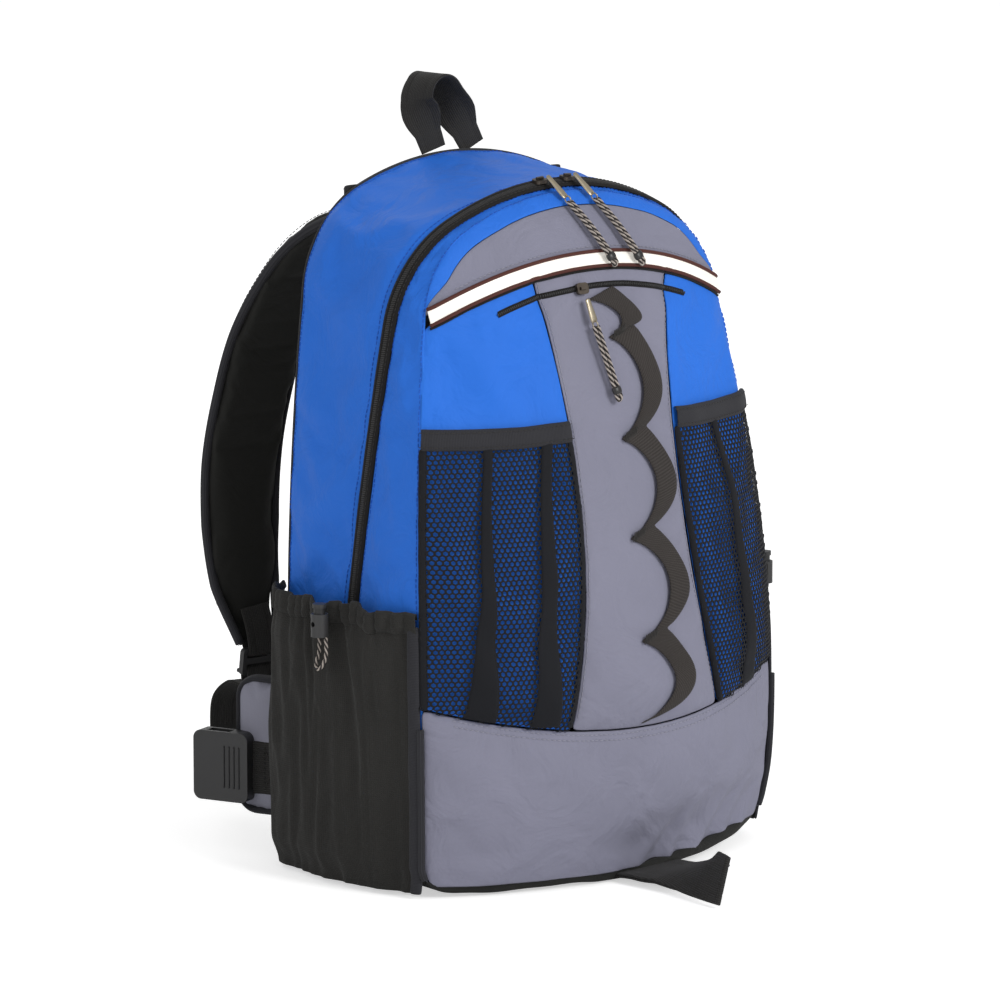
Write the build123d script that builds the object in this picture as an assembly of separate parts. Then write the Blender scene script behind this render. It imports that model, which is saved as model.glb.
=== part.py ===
"""A 25 litre daypack: sewn shell, zips, pockets, harness and hardware, each piece its own solid.

The pack stands on its base. The origin is the centre of the base on the floor, +Z is up, the
front faces -Y and the harness is on the +Y side. Lengths are millimetres. Left and right are
the wearer's, so left is -X.
"""
from build123d import *
from math import atan, atan2, cos, degrees, radians, sin, sqrt
from typing import NamedTuple
import os

# ---- driving dimensions: shell -------------------------------------------------------------
WALL = 2.4              # fabric, foam and lining together
SEAM = 0.4              # gap left between neighbouring panels
CORNER_R = 26.0         # rounding of the bottom corners
BASE_TOP = 16.0         # height where the base panel meets the sides
OPEN_Z = 190.0          # height where the main zip ends and the front folds down
BACK_Y = 76.0           # outer face of the back panel
ZIP_Y0 = 25.7           # the zip's plane at floor level, and how far it leans forward
ZIP_LEAN = 7.7
FRONT_Y0 = -84.0        # the front seam's plane at floor level, and how far it leans back
FRONT_LEAN = 4.3
FACE_REACH = 175.0      # half width over which the front face's curve is drawn

# ---- driving dimensions: front face --------------------------------------------------------
STRIPE_APEX = 429.6     # reflective stripe: height at the middle, radius and width
STRIPE_R = 283.6
STRIPE_W = 8.5
POCKET_TAPE_W = 9.0
LOWER_APEX = 110.0      # top edge of the lower panel at the middle, and its radius
LOWER_R = 527.0
MESH_TOP = 324.0        # top edge of the mesh pockets
BINDING_W = 14.0
LAYER = 0.5             # gap between a panel and what is sewn over it
CHAIN_CUSPS = (391.0, 368.0, 310.0, 240.0, 170.0, 118.0)
CHAIN_CUSP_X = 10.0
CHAIN_BULGES = (30.0, 38.0, 38.0, 38.0, 38.0)   # how far right each bow swings
CHAIN_W = 16.0

# ---- driving dimensions: harness and hardware ----------------------------------------------
STRAP_ANCHOR_Z = 446.0
PAD_T = 11.0            # back padding
ANCHOR_X = 112.0        # lower webbing anchors
ANCHOR_Z = 45.0
FIN_HINGE = (134.0, 80.0)
FIN_YAW = 23.0          # angle of a hip fin outwards from straight back
FIN_LENGTH = 46.0
FIN_HEIGHT = 97.0
FIN_MID_Z = 76.5
BUCKLE_Z = 61.5
POCKET_TOP = 188.0      # side pockets
HEM_TOP = 204.0
LOCK_Z = 196.0
LOCK_Y = {-1: -12.0, 1: -52.0}
CORD_R = 1.5


class Outline(NamedTuple):
    """A front view outline: bowed legs, round shoulders and a flatter crown."""
    waist: float        # half width where the legs are widest
    waist_z: float
    bow: float          # how far a leg closes in 270 mm above the waist
    shoulder_z: float   # where the leg's curve ends
    apex_z: float
    crown_r: float
    shoulder_r: float


BOW_SPAN = 270.0
BACK = Outline(150.0, 150.0, 16.0, 380.0, 492.0, 220.0, 85.0)
ZIP = Outline(152.0, 150.0, 15.0, 380.0, 485.0, 205.0, 86.0)
FRONT = Outline(158.0, 120.0, 24.8, 380.0, 476.0, 210.0, 75.0)


# ---- outlines ------------------------------------------------------------------------------
def leg_x(o, z):
    """Half width on the leg at height z."""
    return o.waist - o.bow * ((z - o.waist_z) / BOW_SPAN) ** 2


def arch(o):
    """Centres and tangent points of the crown and shoulder arcs, as (x, z) pairs."""
    lean = atan(2 * o.bow * (o.shoulder_z - o.waist_z) / BOW_SPAN ** 2)
    normal = (cos(lean), sin(lean))
    along = (-sin(lean), cos(lean))
    crown = (0.0, o.apex_z - o.crown_r)
    start_x = leg_x(o, o.shoulder_z) - o.shoulder_r * normal[0] - crown[0]
    start_z = o.shoulder_z - o.shoulder_r * normal[1] - crown[1]
    b = start_x * along[0] + start_z * along[1]
    c = start_x ** 2 + start_z ** 2 - (o.crown_r - o.shoulder_r) ** 2
    k = -b + sqrt(b * b - c)
    shoulder = (crown[0] + start_x + k * along[0], crown[1] + start_z + k * along[1])
    leg_end = (shoulder[0] + o.shoulder_r * normal[0], shoulder[1] + o.shoulder_r * normal[1])
    turn = atan2(shoulder[1] - crown[1], shoulder[0] - crown[0])
    shoulder_end = (crown[0] + o.crown_r * cos(turn), crown[1] + o.crown_r * sin(turn))
    middle = (turn + lean) / 2
    shoulder_mid = (shoulder[0] + o.shoulder_r * cos(middle), shoulder[1] + o.shoulder_r * sin(middle))
    return crown, leg_end, shoulder_mid, shoulder_end


def inset(o, depth):
    """The same outline moved inwards by depth."""
    return o._replace(waist=o.waist - depth, apex_z=o.apex_z - depth,
                      crown_r=o.crown_r - depth, shoulder_r=o.shoulder_r - depth)


def outline_face(o, plane, depth=0.0):
    """A face with outline o, moved inwards by depth, on a plane whose local y is up."""
    o = inset(o, depth)
    corner = CORNER_R - depth
    foot = leg_x(o, CORNER_R)
    _, leg_end, shoulder_mid, shoulder_end = arch(o)
    bevel = corner * (1 - cos(radians(45)))
    leg_mid_z = (CORNER_R + leg_end[1]) / 2
    right = [
        ((foot - corner, depth), (foot - bevel, depth + bevel), (foot, CORNER_R)),
        ((foot, CORNER_R), (leg_x(o, leg_mid_z), leg_mid_z), leg_end),
        (leg_end, shoulder_mid, shoulder_end),
    ]
    left = [tuple((-x, z) for x, z in reversed(arc)) for arc in reversed(right)]
    edges = [Line((corner - foot, depth), (foot - corner, depth))]
    edges += [ThreePointArc(*arc) for arc in right]
    edges += [ThreePointArc(shoulder_end, (0.0, o.apex_z), (-shoulder_end[0], shoulder_end[1]))]
    edges += [ThreePointArc(*arc) for arc in left]
    return plane * make_face(edges)


def leaning_plane(y0, lean):
    """An upright plane facing the front, leaning towards -Y by lean degrees."""
    angle = radians(lean)
    return Plane(origin=(0, y0, 0), x_dir=(1, 0, 0), z_dir=(0, -cos(angle), -sin(angle)))


BACK_PLANE = leaning_plane(BACK_Y, 0.0)
ZIP_PLANE = leaning_plane(ZIP_Y0, ZIP_LEAN)
FRONT_PLANE = leaning_plane(FRONT_Y0, -FRONT_LEAN)
FORWARD = (0, -1, 0)


def barrel(depth, overrun=0.0):
    """The pack's tube from back to front, inset by depth, open-ended by overrun."""
    back = outline_face(BACK, BACK_PLANE, depth)
    middle = outline_face(ZIP, ZIP_PLANE, depth)
    front = outline_face(FRONT, FRONT_PLANE, depth)
    ahead = Pos(0, -70 - overrun, 0) * front
    faces = [back, middle, front, ahead]
    if overrun:
        faces = [Pos(0, overrun, 0) * back] + faces
    return loft(faces, ruled=True)


# ---- front face ----------------------------------------------------------------------------
def blend_of(z, table):
    """Value at z on a smooth curve through four (z, value) pairs."""
    total = 0.0
    for i, (zi, value) in enumerate(table):
        weight = 1.0
        for j, (zj, _) in enumerate(table):
            if j != i:
                weight *= (z - zj) / (zi - zj)
        total += value * weight
    return total


SEAM_DEPTH = ((0.0, 80.0), (150.0, 85.0), (320.0, 68.0), (476.0, 46.0))
FULLNESS = ((0.0, 0.0018), (150.0, 0.00205), (320.0, 0.0019), (476.0, 0.0016))


def width_squared(z):
    """Front outline's half width squared; it goes on smoothly, below zero, past the apex."""
    crown, leg_end, _, shoulder_end = arch(FRONT)
    if z <= leg_end[1]:
        return leg_x(FRONT, z) ** 2
    if z >= shoulder_end[1]:
        return FRONT.crown_r ** 2 - (z - crown[1]) ** 2
    turn = atan2(shoulder_end[1] - crown[1], shoulder_end[0])
    reach = FRONT.crown_r - FRONT.shoulder_r
    centre = (reach * cos(turn), crown[1] + reach * sin(turn))
    return (centre[0] + sqrt(FRONT.shoulder_r ** 2 - (z - centre[1]) ** 2)) ** 2


def face_y(x, z):
    """The front face's surface."""
    return -blend_of(z, SEAM_DEPTH) - blend_of(z, FULLNESS) * (width_squared(z) - x * x)


FACE_LEVELS = (-4.0, 60.0, 130.0, 200.0, 270.0, 330.0, 385.0, 425.0, 455.0, 482.0)


def face_layer(low, high):
    """A layer that follows the front face, from low to high above its surface."""
    faces = []
    for z in FACE_LEVELS:
        side = face_y(FACE_REACH, z)
        middle = face_y(0, z)
        outer = ThreePointArc((-FACE_REACH, side - high), (0, middle - high), (FACE_REACH, side - high))
        inner = ThreePointArc((FACE_REACH, side - low), (0, middle - low), (-FACE_REACH, side - low))
        ends = [Line(outer @ 1, inner @ 0), Line(inner @ 1, outer @ 0)]
        faces.append(Pos(0, 0, z) * make_face([outer, ends[0], inner, ends[1]]))
    return loft(faces)


def behind_face():
    """Everything behind the front face's surface."""
    faces = []
    for z in FACE_LEVELS:
        side = face_y(FACE_REACH, z)
        front = ThreePointArc((-FACE_REACH, side), (0, face_y(0, z)), (FACE_REACH, side))
        rear = BACK_Y + 9
        rest = Polyline((FACE_REACH, side), (FACE_REACH, rear), (-FACE_REACH, rear), (-FACE_REACH, side))
        faces.append(Pos(0, 0, z) * make_face([front, rest]))
    top = faces[-1]
    return loft(faces) + extrude(top, 30, dir=(0, 0, 1))


def face_prism(depth):
    """The front outline inset by depth, as a prism through the front face."""
    face = outline_face(FRONT, FRONT_PLANE, depth)
    return extrude(Pos(0, 60, 0) * face, 160, dir=FORWARD)


def block(x, y, z):
    """A box from (low, high) pairs."""
    size = [high - low for low, high in (x, y, z)]
    middle = [(low + high) / 2 for low, high in (x, y, z)]
    return Pos(*middle) * Box(*size)


def disc(centre_z, radius):
    """A cylinder along Y, longer than the pack is deep."""
    return Pos(0, 0, centre_z) * Rot(90, 0, 0) * Cylinder(radius, 600)


FAR = 400.0
ABOVE_OPENING = block((-FAR, FAR), (-FAR, FAR), (OPEN_Z + SEAM / 2, 2 * FAR))
BELOW_OPENING = block((-FAR, FAR), (-FAR, FAR), (-FAR, OPEN_Z - SEAM / 2))
LEFT_HALF = block((-FAR, 0), (-FAR, FAR), (-FAR, 2 * FAR))
RIGHT_HALF = block((0, FAR), (-FAR, FAR), (-FAR, 2 * FAR))
STRIPE_CENTRE = STRIPE_APEX - STRIPE_R
LOWER_CENTRE = LOWER_APEX + LOWER_R


def centre_zone(grow):
    """The waisted centre panel as a prism, with its sides moved outwards by grow."""
    left = ThreePointArc((-52 - grow, 425), (-41 - grow, 285), (-62 - grow, 105))
    right = ThreePointArc((79 + grow, 105), (51 + grow, 285), (73 + grow, 425))
    ends = [Line(left @ 1, right @ 0), Line(right @ 1, left @ 0)]
    face = Plane.XZ * make_face([left, ends[0], right, ends[1]])
    return extrude(face, FAR, dir=FORWARD)


def front_panels():
    """The front face's panels, cut out of one layer."""
    skin = face_layer(-WALL, 0.0) & face_prism(WALL + SEAM)
    above_base = block((-FAR, FAR), (-FAR, FAR), (BASE_TOP / 2, 2 * FAR))
    tape_high = STRIPE_R - STRIPE_W / 2 + 2.0
    tape_low = tape_high - POCKET_TAPE_W
    cap = skin - disc(STRIPE_CENTRE, tape_high)
    cap = cap & block((-FAR, FAR), (-FAR, FAR), (350, FAR * 2))
    tape = skin & (disc(STRIPE_CENTRE, tape_high - SEAM) - disc(STRIPE_CENTRE, tape_low + SEAM))
    tape = tape & block((-FAR, FAR), (-FAR, FAR), (350, FAR * 2))
    body = skin & block((-FAR, FAR), (-FAR, FAR), (60, 2 * FAR))
    upper_limit = disc(STRIPE_CENTRE, tape_low) + block((-FAR, FAR), (-FAR, FAR), (-FAR, 300))
    body = body & upper_limit & disc(LOWER_CENTRE, LOWER_R - SEAM / 2)
    lower = (skin & above_base & BELOW_OPENING) - disc(LOWER_CENTRE, LOWER_R + SEAM / 2)
    centre = body & centre_zone(0.0)
    sides = body - centre_zone(SEAM)
    return {
        "cap_panel": cap,
        "pocket_zip_tape": tape,
        "lower_panel": lower,
        "centre_panel_upper": centre & ABOVE_OPENING,
        "centre_panel_lower": centre & BELOW_OPENING,
        "left_panel_upper": sides & LEFT_HALF & ABOVE_OPENING,
        "left_panel_lower": sides & LEFT_HALF & BELOW_OPENING,
        "right_panel_upper": sides & RIGHT_HALF & ABOVE_OPENING,
        "right_panel_lower": sides & RIGHT_HALF & BELOW_OPENING,
    }


def chain_zone():
    """The wavy daisy chain webbing as a prism: bows between cusps that lie in one line."""
    bows = []
    for top, bottom, bulge in zip(CHAIN_CUSPS, CHAIN_CUSPS[1:], CHAIN_BULGES):
        middle = (bulge, (top + bottom) / 2)
        bow = ThreePointArc((CHAIN_CUSP_X, top), middle, (CHAIN_CUSP_X, bottom))
        bows.append(extrude(Plane.XZ * trace(bow, CHAIN_W), FAR, dir=FORWARD))
    return bows[0] + bows[1:]


def front_layers():
    """What is sewn over the front panels: stripe, mesh pockets, bindings and daisy chain."""
    outline = face_prism(WALL + 2 * SEAM)
    stripe = face_layer(LAYER, LAYER + 0.9) & outline
    ring = disc(STRIPE_CENTRE, STRIPE_R + STRIPE_W / 2) - disc(STRIPE_CENTRE, STRIPE_R - STRIPE_W / 2)
    stripe = stripe & ring
    stripe = stripe & block((-FAR, FAR), (-FAR, FAR), (350, 2 * FAR))
    pocket = face_layer(LAYER, LAYER + 1.2) & outline
    pocket = (pocket & disc(LOWER_CENTRE, LOWER_R - 1.0)) - centre_zone(1.0)
    mesh = pocket & block((-FAR, FAR), (-FAR, FAR), (60, MESH_TOP - BINDING_W - SEAM))
    binding = pocket & block((-FAR, FAR), (-FAR, FAR), (MESH_TOP - BINDING_W, MESH_TOP))
    chain = face_layer(LAYER, LAYER + 1.3) & chain_zone()
    return {
        "reflective_stripe": stripe,
        "left_mesh_upper": mesh & LEFT_HALF & ABOVE_OPENING,
        "left_mesh_lower": mesh & LEFT_HALF & BELOW_OPENING,
        "right_mesh_upper": mesh & RIGHT_HALF & ABOVE_OPENING,
        "right_mesh_lower": mesh & RIGHT_HALF & BELOW_OPENING,
        "mesh_bindings": binding,
        "daisy_chain_upper": chain & ABOVE_OPENING,
        "daisy_chain_lower": chain & BELOW_OPENING,
    }


# ---- sides, base, zip and back -------------------------------------------------------------
def zip_slab(near, far):
    """Space in front of the zip's plane from near to far; negative is towards the back."""
    return ZIP_PLANE * Pos(0, 300, (near + far) / 2) * Box(2 * FAR, 800, far - near)


COIL_HALF = 1.6
TAPE_EDGE = 7.0


def walls():
    """The tube of gussets, zip and base, cut out of one wall."""
    tube = (barrel(0.0) - barrel(WALL, overrun=12)) & behind_face()
    open_part = tube & ABOVE_OPENING
    closed_part = tube & BELOW_OPENING
    gap = SEAM / 2
    sides = closed_part & block((-FAR, FAR), (-FAR, FAR), (BASE_TOP + gap, FAR))
    rear_coil = open_part & zip_slab(-COIL_HALF, -gap)
    front_coil = open_part & zip_slab(gap, COIL_HALF)
    zip_rear = rear_coil + (open_part & zip_slab(-TAPE_EDGE, -COIL_HALF - gap))
    zip_front = front_coil + (open_part & zip_slab(COIL_HALF + gap, TAPE_EDGE))
    return {
        "rear_gusset": open_part & zip_slab(-FAR, -TAPE_EDGE - SEAM),
        "main_zip_rear": zip_rear,
        "main_zip_front": zip_front,
        "front_gusset": open_part & zip_slab(TAPE_EDGE + SEAM, FAR),
        "lower_side_left": sides & LEFT_HALF,
        "lower_side_right": sides & RIGHT_HALF,
        "base_panel": closed_part & block((-FAR, FAR), (-FAR, FAR), (-1, BASE_TOP - gap)),
    }


def rounded_slab(width, height, thickness, radius):
    """An upright slab with rounded corners, centred, its thickness along Y."""
    return extrude(Plane.XZ * RectangleRounded(width, height, radius), thickness / 2, both=True)


def back_pieces():
    """Back panel, frame sheet, padding and the wall inside the front pocket."""
    shell = outline_face(BACK, BACK_PLANE, WALL + SEAM)
    backing = outline_face(FRONT, FRONT_PLANE, 10.0)
    backing = extrude(Pos(0, 14, 0) * backing, 1.6, dir=FORWARD)
    backing = backing & block((-FAR, FAR), (-FAR, FAR), (OPEN_Z + 6, 402))
    pad_x = 57.0
    pad_mid = BACK_Y + 0.5 + PAD_T / 2
    pad = rounded_slab(74, 276, PAD_T, 18)
    lumbar = rounded_slab(186, 104, PAD_T + 3, 24)
    return {
        "back_panel": extrude(shell, WALL, dir=FORWARD),
        "frame_sheet": Pos(0, BACK_Y - WALL - 1.4, 229) * rounded_slab(228, 420, 1.4, 40),
        "back_pads": Pos(-pad_x, pad_mid, 286) * pad + Pos(pad_x, pad_mid, 286) * pad,
        "lumbar_pad": Pos(0, pad_mid + 1.5, 84) * lumbar,
        "pocket_backing": backing,
    }


POCKET_PLAN = (         # front to rear: where the wall's inner side is, and the way it faces
    ((158.6, -80.0), (0.97, -0.25)),
    ((171.0, -48.0), (0.97, -0.22)),
    ((178.5, -5.0), (1.0, 0.0)),
    ((180.0, 38.0), (0.99, 0.14)),
    ((172.0, 66.0), (0.75, 0.66)),
    ((153.8, 74.0), (0.3, 0.95)),
)


def pocket_line(offset):
    """A side pocket's plan line on the right side, offset outwards, front to rear."""
    points = []
    for (x, y), (facing_x, facing_y) in POCKET_PLAN:
        points.append((x + facing_x * offset, y + facing_y * offset))
    return points


def pocket_plan(side, low, high):
    """Plan of a side pocket's wall from low to high outside its lining, on one side."""
    outer = Spline(*pocket_line(high))
    inner = Spline(*reversed(pocket_line(low)))
    face = make_face([outer, Line(outer @ 1, inner @ 0), inner, Line(inner @ 1, outer @ 0)])
    return face if side > 0 else mirror(face, Plane.YZ)


def pocket_skin_x(y, offset):
    """Distance from the middle plane to a side pocket's outer face at y."""
    points = pocket_line(offset)
    for (x0, y0), (x1, y1) in zip(points, points[1:]):
        if y0 <= y <= y1:
            return x0 + (x1 - x0) * (y - y0) / (y1 - y0)
    raise ValueError("y is outside the side pocket")


def side_pockets():
    """Stretch side pockets with their gathered hems."""
    pieces = {}
    hems = []
    for name, side in (("left", -1), ("right", 1)):
        pieces[f"side_pocket_{name}"] = Pos(0, 0, 8) * extrude(pocket_plan(side, 0.4, 2.2), POCKET_TOP - 8.4)
        hems.append(Pos(0, 0, POCKET_TOP) * extrude(pocket_plan(side, 0.2, 3.4), HEM_TOP - POCKET_TOP))
    pieces["pocket_hems"] = hems[0] + hems[1]
    return pieces


# ---- cords, webbing and straps -------------------------------------------------------------
def cord(points, radius=CORD_R):
    """A round cord through points."""
    path = Spline(*points)
    start = Plane(origin=path @ 0, z_dir=path % 0)
    return sweep(start * Circle(radius), path=path)


def ribbon(stations, thickness=1.8):
    """A flat band lofted through (point, width, width direction, running direction, thickness)."""
    faces = []
    for station in stations:
        point, width, across, along = station[:4]
        depth = station[4] if len(station) > 4 else thickness
        plane = Plane(origin=point, x_dir=across, z_dir=along)
        faces.append(plane * Rectangle(width, depth))
    return loft(faces)


def flip(point, side):
    """A point given for the right side, placed on either side."""
    return (side * point[0], point[1], point[2])


STRAP_PATH = (          # centre, width and thickness of the right shoulder strap
    ((60, 80, 446), 50, 8),
    ((61, 108, 445), 56, 10),
    ((64, 140, 428), 62, 11),
    ((68, 168, 400), 64, 12),
    ((73, 197, 356), 64, 12),
    ((77, 213, 308), 64, 12),
    ((80, 222, 262), 64, 12),
    ((82, 222, 215), 62, 12),
    ((82, 217, 170), 54, 10),
    ((78, 206, 128), 34, 7),
)
LINK_PATH = (           # webbing from the pack's lower corner to the ladder lock
    (111, 83, 45),
    (104, 120, 41),
    (94, 160, 50),
    (84, 189, 72),
    (79, 201, 99),
)
TAIL_PATH = (           # loose end of the same webbing
    (88, 229, 30),
    (89, 234, 60),
    (88, 233, 84),
    (84, 222, 97),
    (80, 210, 98),
)


def running_directions(points):
    """Directions of a path at each of its points."""
    last = len(points) - 1
    directions = []
    for i in range(len(points)):
        a = Vector(*points[max(i - 1, 0)])
        b = Vector(*points[min(i + 1, last)])
        directions.append((b - a).normalized())
    return directions


def band_along(points, widths, thicknesses):
    """A band whose width stays along X while it follows the points."""
    stations = []
    for point, width, along, depth in zip(points, widths, running_directions(points), thicknesses):
        level = Vector(0, along.Y, along.Z).normalized()
        stations.append((point, width, (1, 0, 0), level, depth))
    return ribbon(stations)


def harness():
    """Shoulder straps, their ladder locks and webbing, and the lower anchors."""
    pieces = {}
    anchors = []
    for name, side in (("left", -1), ("right", 1)):
        centres = [flip(point, side) for point, _, _ in STRAP_PATH]
        widths = [width for _, width, _ in STRAP_PATH]
        depths = [depth for _, _, depth in STRAP_PATH]
        pieces[f"shoulder_strap_{name}"] = band_along(centres, widths, depths)
        link = band_along([flip(p, side) for p in LINK_PATH], [25] * 5, [1.8] * 5)
        tail = band_along([flip(p, side) for p in TAIL_PATH], [25] * 5, [1.8] * 5)
        pieces[f"strap_webbing_{name}"] = link + tail
        pieces[f"ladder_lock_{name}"] = Pos(side * 78, 204.5, 114.5) * Rot(8, 0, 0) * ladder_lock()
        anchors.append(Pos(side * ANCHOR_X, BACK_Y + 2.2, ANCHOR_Z) * rounded_slab(30, 26, 3.2, 4))
    pieces["strap_anchors"] = anchors[0] + anchors[1]
    return pieces


def ladder_lock():
    """A two-slot webbing adjuster, upright, its thickness along Y, with a lifting lip."""
    frame = extrude(Plane.XZ * RectangleRounded(34, 20, 3), 2.2, both=True)
    slot = extrude(Plane.XZ * RectangleRounded(27, 4.4, 1.2), 5, both=True)
    lip = extrude(Plane.XZ * RectangleRounded(30, 3, 1.2), 5)
    return frame - Pos(0, 0, 5) * slot - Pos(0, 0, -4) * slot + Pos(0, 2.2, -8.4) * mirror(lip, Plane.XZ)


def fin_place(side, along, out):
    """Location on a hip fin: along it from its hinge, out from its middle towards the outside."""
    yaw = radians(FIN_YAW)
    x = FIN_HINGE[0] + along * sin(yaw) + out * cos(yaw)
    y = FIN_HINGE[1] + along * cos(yaw) - out * sin(yaw)
    return Pos(side * x, y, 0) * Rot(0, 0, -side * FIN_YAW)


def on_fin(side, along, out, z, size, radius):
    """A slab lying on a hip fin's outside, its size along, out and up."""
    face = Plane.YZ * RectangleRounded(size[0], size[2], radius)
    slab = extrude(face, size[1] / 2, both=True)
    return fin_place(side, along, out) * Pos(0, 0, z) * slab


def hip_belt():
    """Hip fins, their webbing, and the two halves of the side release buckle."""
    pieces = {}
    for name, side in (("left", -1), ("right", 1)):
        pad = (FIN_LENGTH, 10, FIN_HEIGHT)
        pieces[f"hip_fin_{name}"] = on_fin(side, 5 + FIN_LENGTH / 2, 0, FIN_MID_Z, pad, 14)
        pieces[f"belt_webbing_{name}"] = on_fin(side, 24, 6.6, BUCKLE_Z, (20, 1.8, 38), 1)
    shell = on_fin(-1, 57, 11.6, BUCKLE_Z, (44, 13, 50), 6)
    mouth = on_fin(-1, 68, 11.6, BUCKLE_Z, (30, 8, 38), 3)
    windows = [on_fin(-1, 60, 11.6, BUCKLE_Z + s * 23, (18, 8, 10), 2) for s in (-1, 1)]
    pieces["buckle_socket"] = shell - mouth - windows[0] - windows[1]
    plug = on_fin(1, 46, 11.6, BUCKLE_Z, (20, 12, 46), 4)
    prongs = [on_fin(1, 70, 11.6, BUCKLE_Z + s * 15, (28.6, 6, 6), 2.5) for s in (-1, 1)]
    tongue = on_fin(1, 66, 11.6, BUCKLE_Z, (21, 4, 8), 1.5)
    pieces["buckle_plug"] = plug + prongs[0] + prongs[1] + tongue
    return pieces


def haul_loop():
    """Carrying loop: feet flat in the back seam, the webbing turned edge-on at the top."""
    up = (0, 0, 1)
    flat = (1, 0, 0)
    deep = (0, 1, 0)
    half = (0.7, 0.7, 0)
    top_y = BACK_Y + 12
    stations = [
        ((-16, 79.2, 494.4), 18, flat, up),
        ((-19, 81.8, 504.0), 17, half, (-0.25, 0, 1)),
        ((-22, 85.0, 516.0), 24, deep, (-0.2, 0, 1)),
        ((-24, top_y, 529.0), 30, deep, (0.1, 0, 1)),
        ((-19, top_y, 541.0), 30, deep, (0.7, 0, 0.7)),
        ((-11, top_y, 545.0), 30, deep, (1, 0, 0)),
        ((-3, top_y, 541.0), 30, deep, (0.7, 0, -0.7)),
        ((3, top_y, 530.0), 30, deep, (0.35, 0, -1)),
        ((9, 85.0, 516.0), 24, deep, (0.35, 0, -1)),
        ((14, 81.8, 504.0), 17, half, (0.4, 0, -1)),
        ((19, 79.2, 494.4), 18, flat, (0.3, 0, -1)),
    ]
    return ribbon(stations, 1.8)


def lash_loop():
    """Flattened webbing loop sewn in the bottom seam; it lies forward and turns on its edge."""
    stations = [
        ((14, -127, 5.4), 58, (0.98, 0.2, 0), (-0.1, -1, -0.05), 3.4),
        ((13, -148, 7.6), 48, (0.97, 0.2, 0.1), (-0.2, -1, 0), 3.4),
        ((9, -174, 12.4), 38, (0.86, 0.1, 0.4), (-0.25, -1, 0), 3.4),
        ((0, -200, 17.0), 36, (0.55, 0.0, 0.8), (-0.25, -1, 0), 3.4),
        ((-8, -228, 18.4), 34, (0.28, 0.0, 0.96), (-0.25, -1, 0), 3.4),
    ]
    return ribbon(stations)


# ---- zip sliders, pulls and cord locks -----------------------------------------------------
def slider_body():
    """A zip slider: a waisted plate with a bridge on top, on the XY plane, travelling along X."""
    plate = extrude(RectangleRounded(10, 8, 2.4), 2.4)
    bridge = Pos(0, 0, 3.2) * Box(5.6, 2.0, 1.8)
    return plate + bridge


def on_zip(x, lift):
    """Place on the main zip's crown at x, lifted off the coil, with local z outwards."""
    crown, _, _, _ = arch(ZIP)
    turn = degrees(atan2(x, sqrt(ZIP.crown_r ** 2 - x * x)))
    return ZIP_PLANE * Pos(0, crown[1], 0) * Rot(0, 0, -turn) * Pos(0, ZIP.crown_r + lift, 0) * Rot(-90, 0, 0)


def hanging(start, end, lift, end_lift, count=4):
    """Points that hang down the front face from start to end, both (x, z), lifted above it."""
    points = []
    for i in range(count):
        t = i / (count - 1)
        x = start[0] + (end[0] - start[0]) * t
        z = start[1] + (end[1] - start[1]) * t
        points.append((x, face_y(x, z) - lift - (end_lift - lift) * t, z))
    return points


SLIDER_X = {"left": -16.0, "right": 8.0}
PULL_END = {"left": (14.0, 428.0), "right": (40.0, 426.0)}
POCKET_SLIDER = (-16.0, 411.5)
POCKET_PULL_END = (-2.0, 338.0)
TAB_LENGTH = 17.0


def cord_loop(start, line):
    """A hairpin of cord: out along line, round its end and back to start's level."""
    gap = 2.2
    down = [(x - gap, y, z) for x, y, z in [start] + line]
    back = [(x + gap, y, z) for x, y, z in reversed([start] + line)]
    end = line[-1]
    tip = (end[0], end[1], end[2] - gap)
    return cord(down + [tip] + back, 1.3)


def pull(top, end, tab_lift, end_lift):
    """A slider's pull from top, a point, to end, (x, z): a metal tab, then a hairpin of cord."""
    x, y, z = top
    reach_x = end[0] - x
    reach_z = end[1] - z
    share = TAB_LENGTH / sqrt(reach_x ** 2 + reach_z ** 2)
    tab_x = x + reach_x * share
    tab_z = z + reach_z * share
    tab_end = Vector(tab_x, face_y(tab_x, tab_z) - tab_lift, tab_z)
    along = (tab_end - Vector(*top)).normalized()
    across = (1, 0, 0)
    tab = ribbon([(top, 6, across, along), (tab_end, 7, across, along)], 1.4)
    cord_share = share * (1 + 1.2 / TAB_LENGTH) + 0.06
    cord_start = (x + reach_x * cord_share, z + reach_z * cord_share)
    line = hanging(cord_start, end, tab_lift, end_lift)
    return tab + cord_loop(line[0], line[1:])


def zips():
    """Sliders of the main and pocket zips, with their pulls."""
    pieces = {}
    for name, x in SLIDER_X.items():
        pieces[f"main_slider_{name}"] = on_zip(x, 0.9) * slider_body()
        pieces[f"main_pull_{name}"] = pull((x + 1, -46.0, 486.5), PULL_END[name], 7.2, 4.2)
    x, z = POCKET_SLIDER
    y = face_y(x, z)
    slope = degrees(atan((face_y(x, z + 4) - face_y(x, z - 4)) / 8))
    pieces["pocket_slider"] = Pos(x, y - 1.3, z) * Rot(90 - slope, 0, 0) * slider_body()
    pieces["pocket_pull"] = pull((x + 0.5, y - 7.4, z - 6.0), POCKET_PULL_END, 5.2, 5.6)
    return pieces


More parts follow.
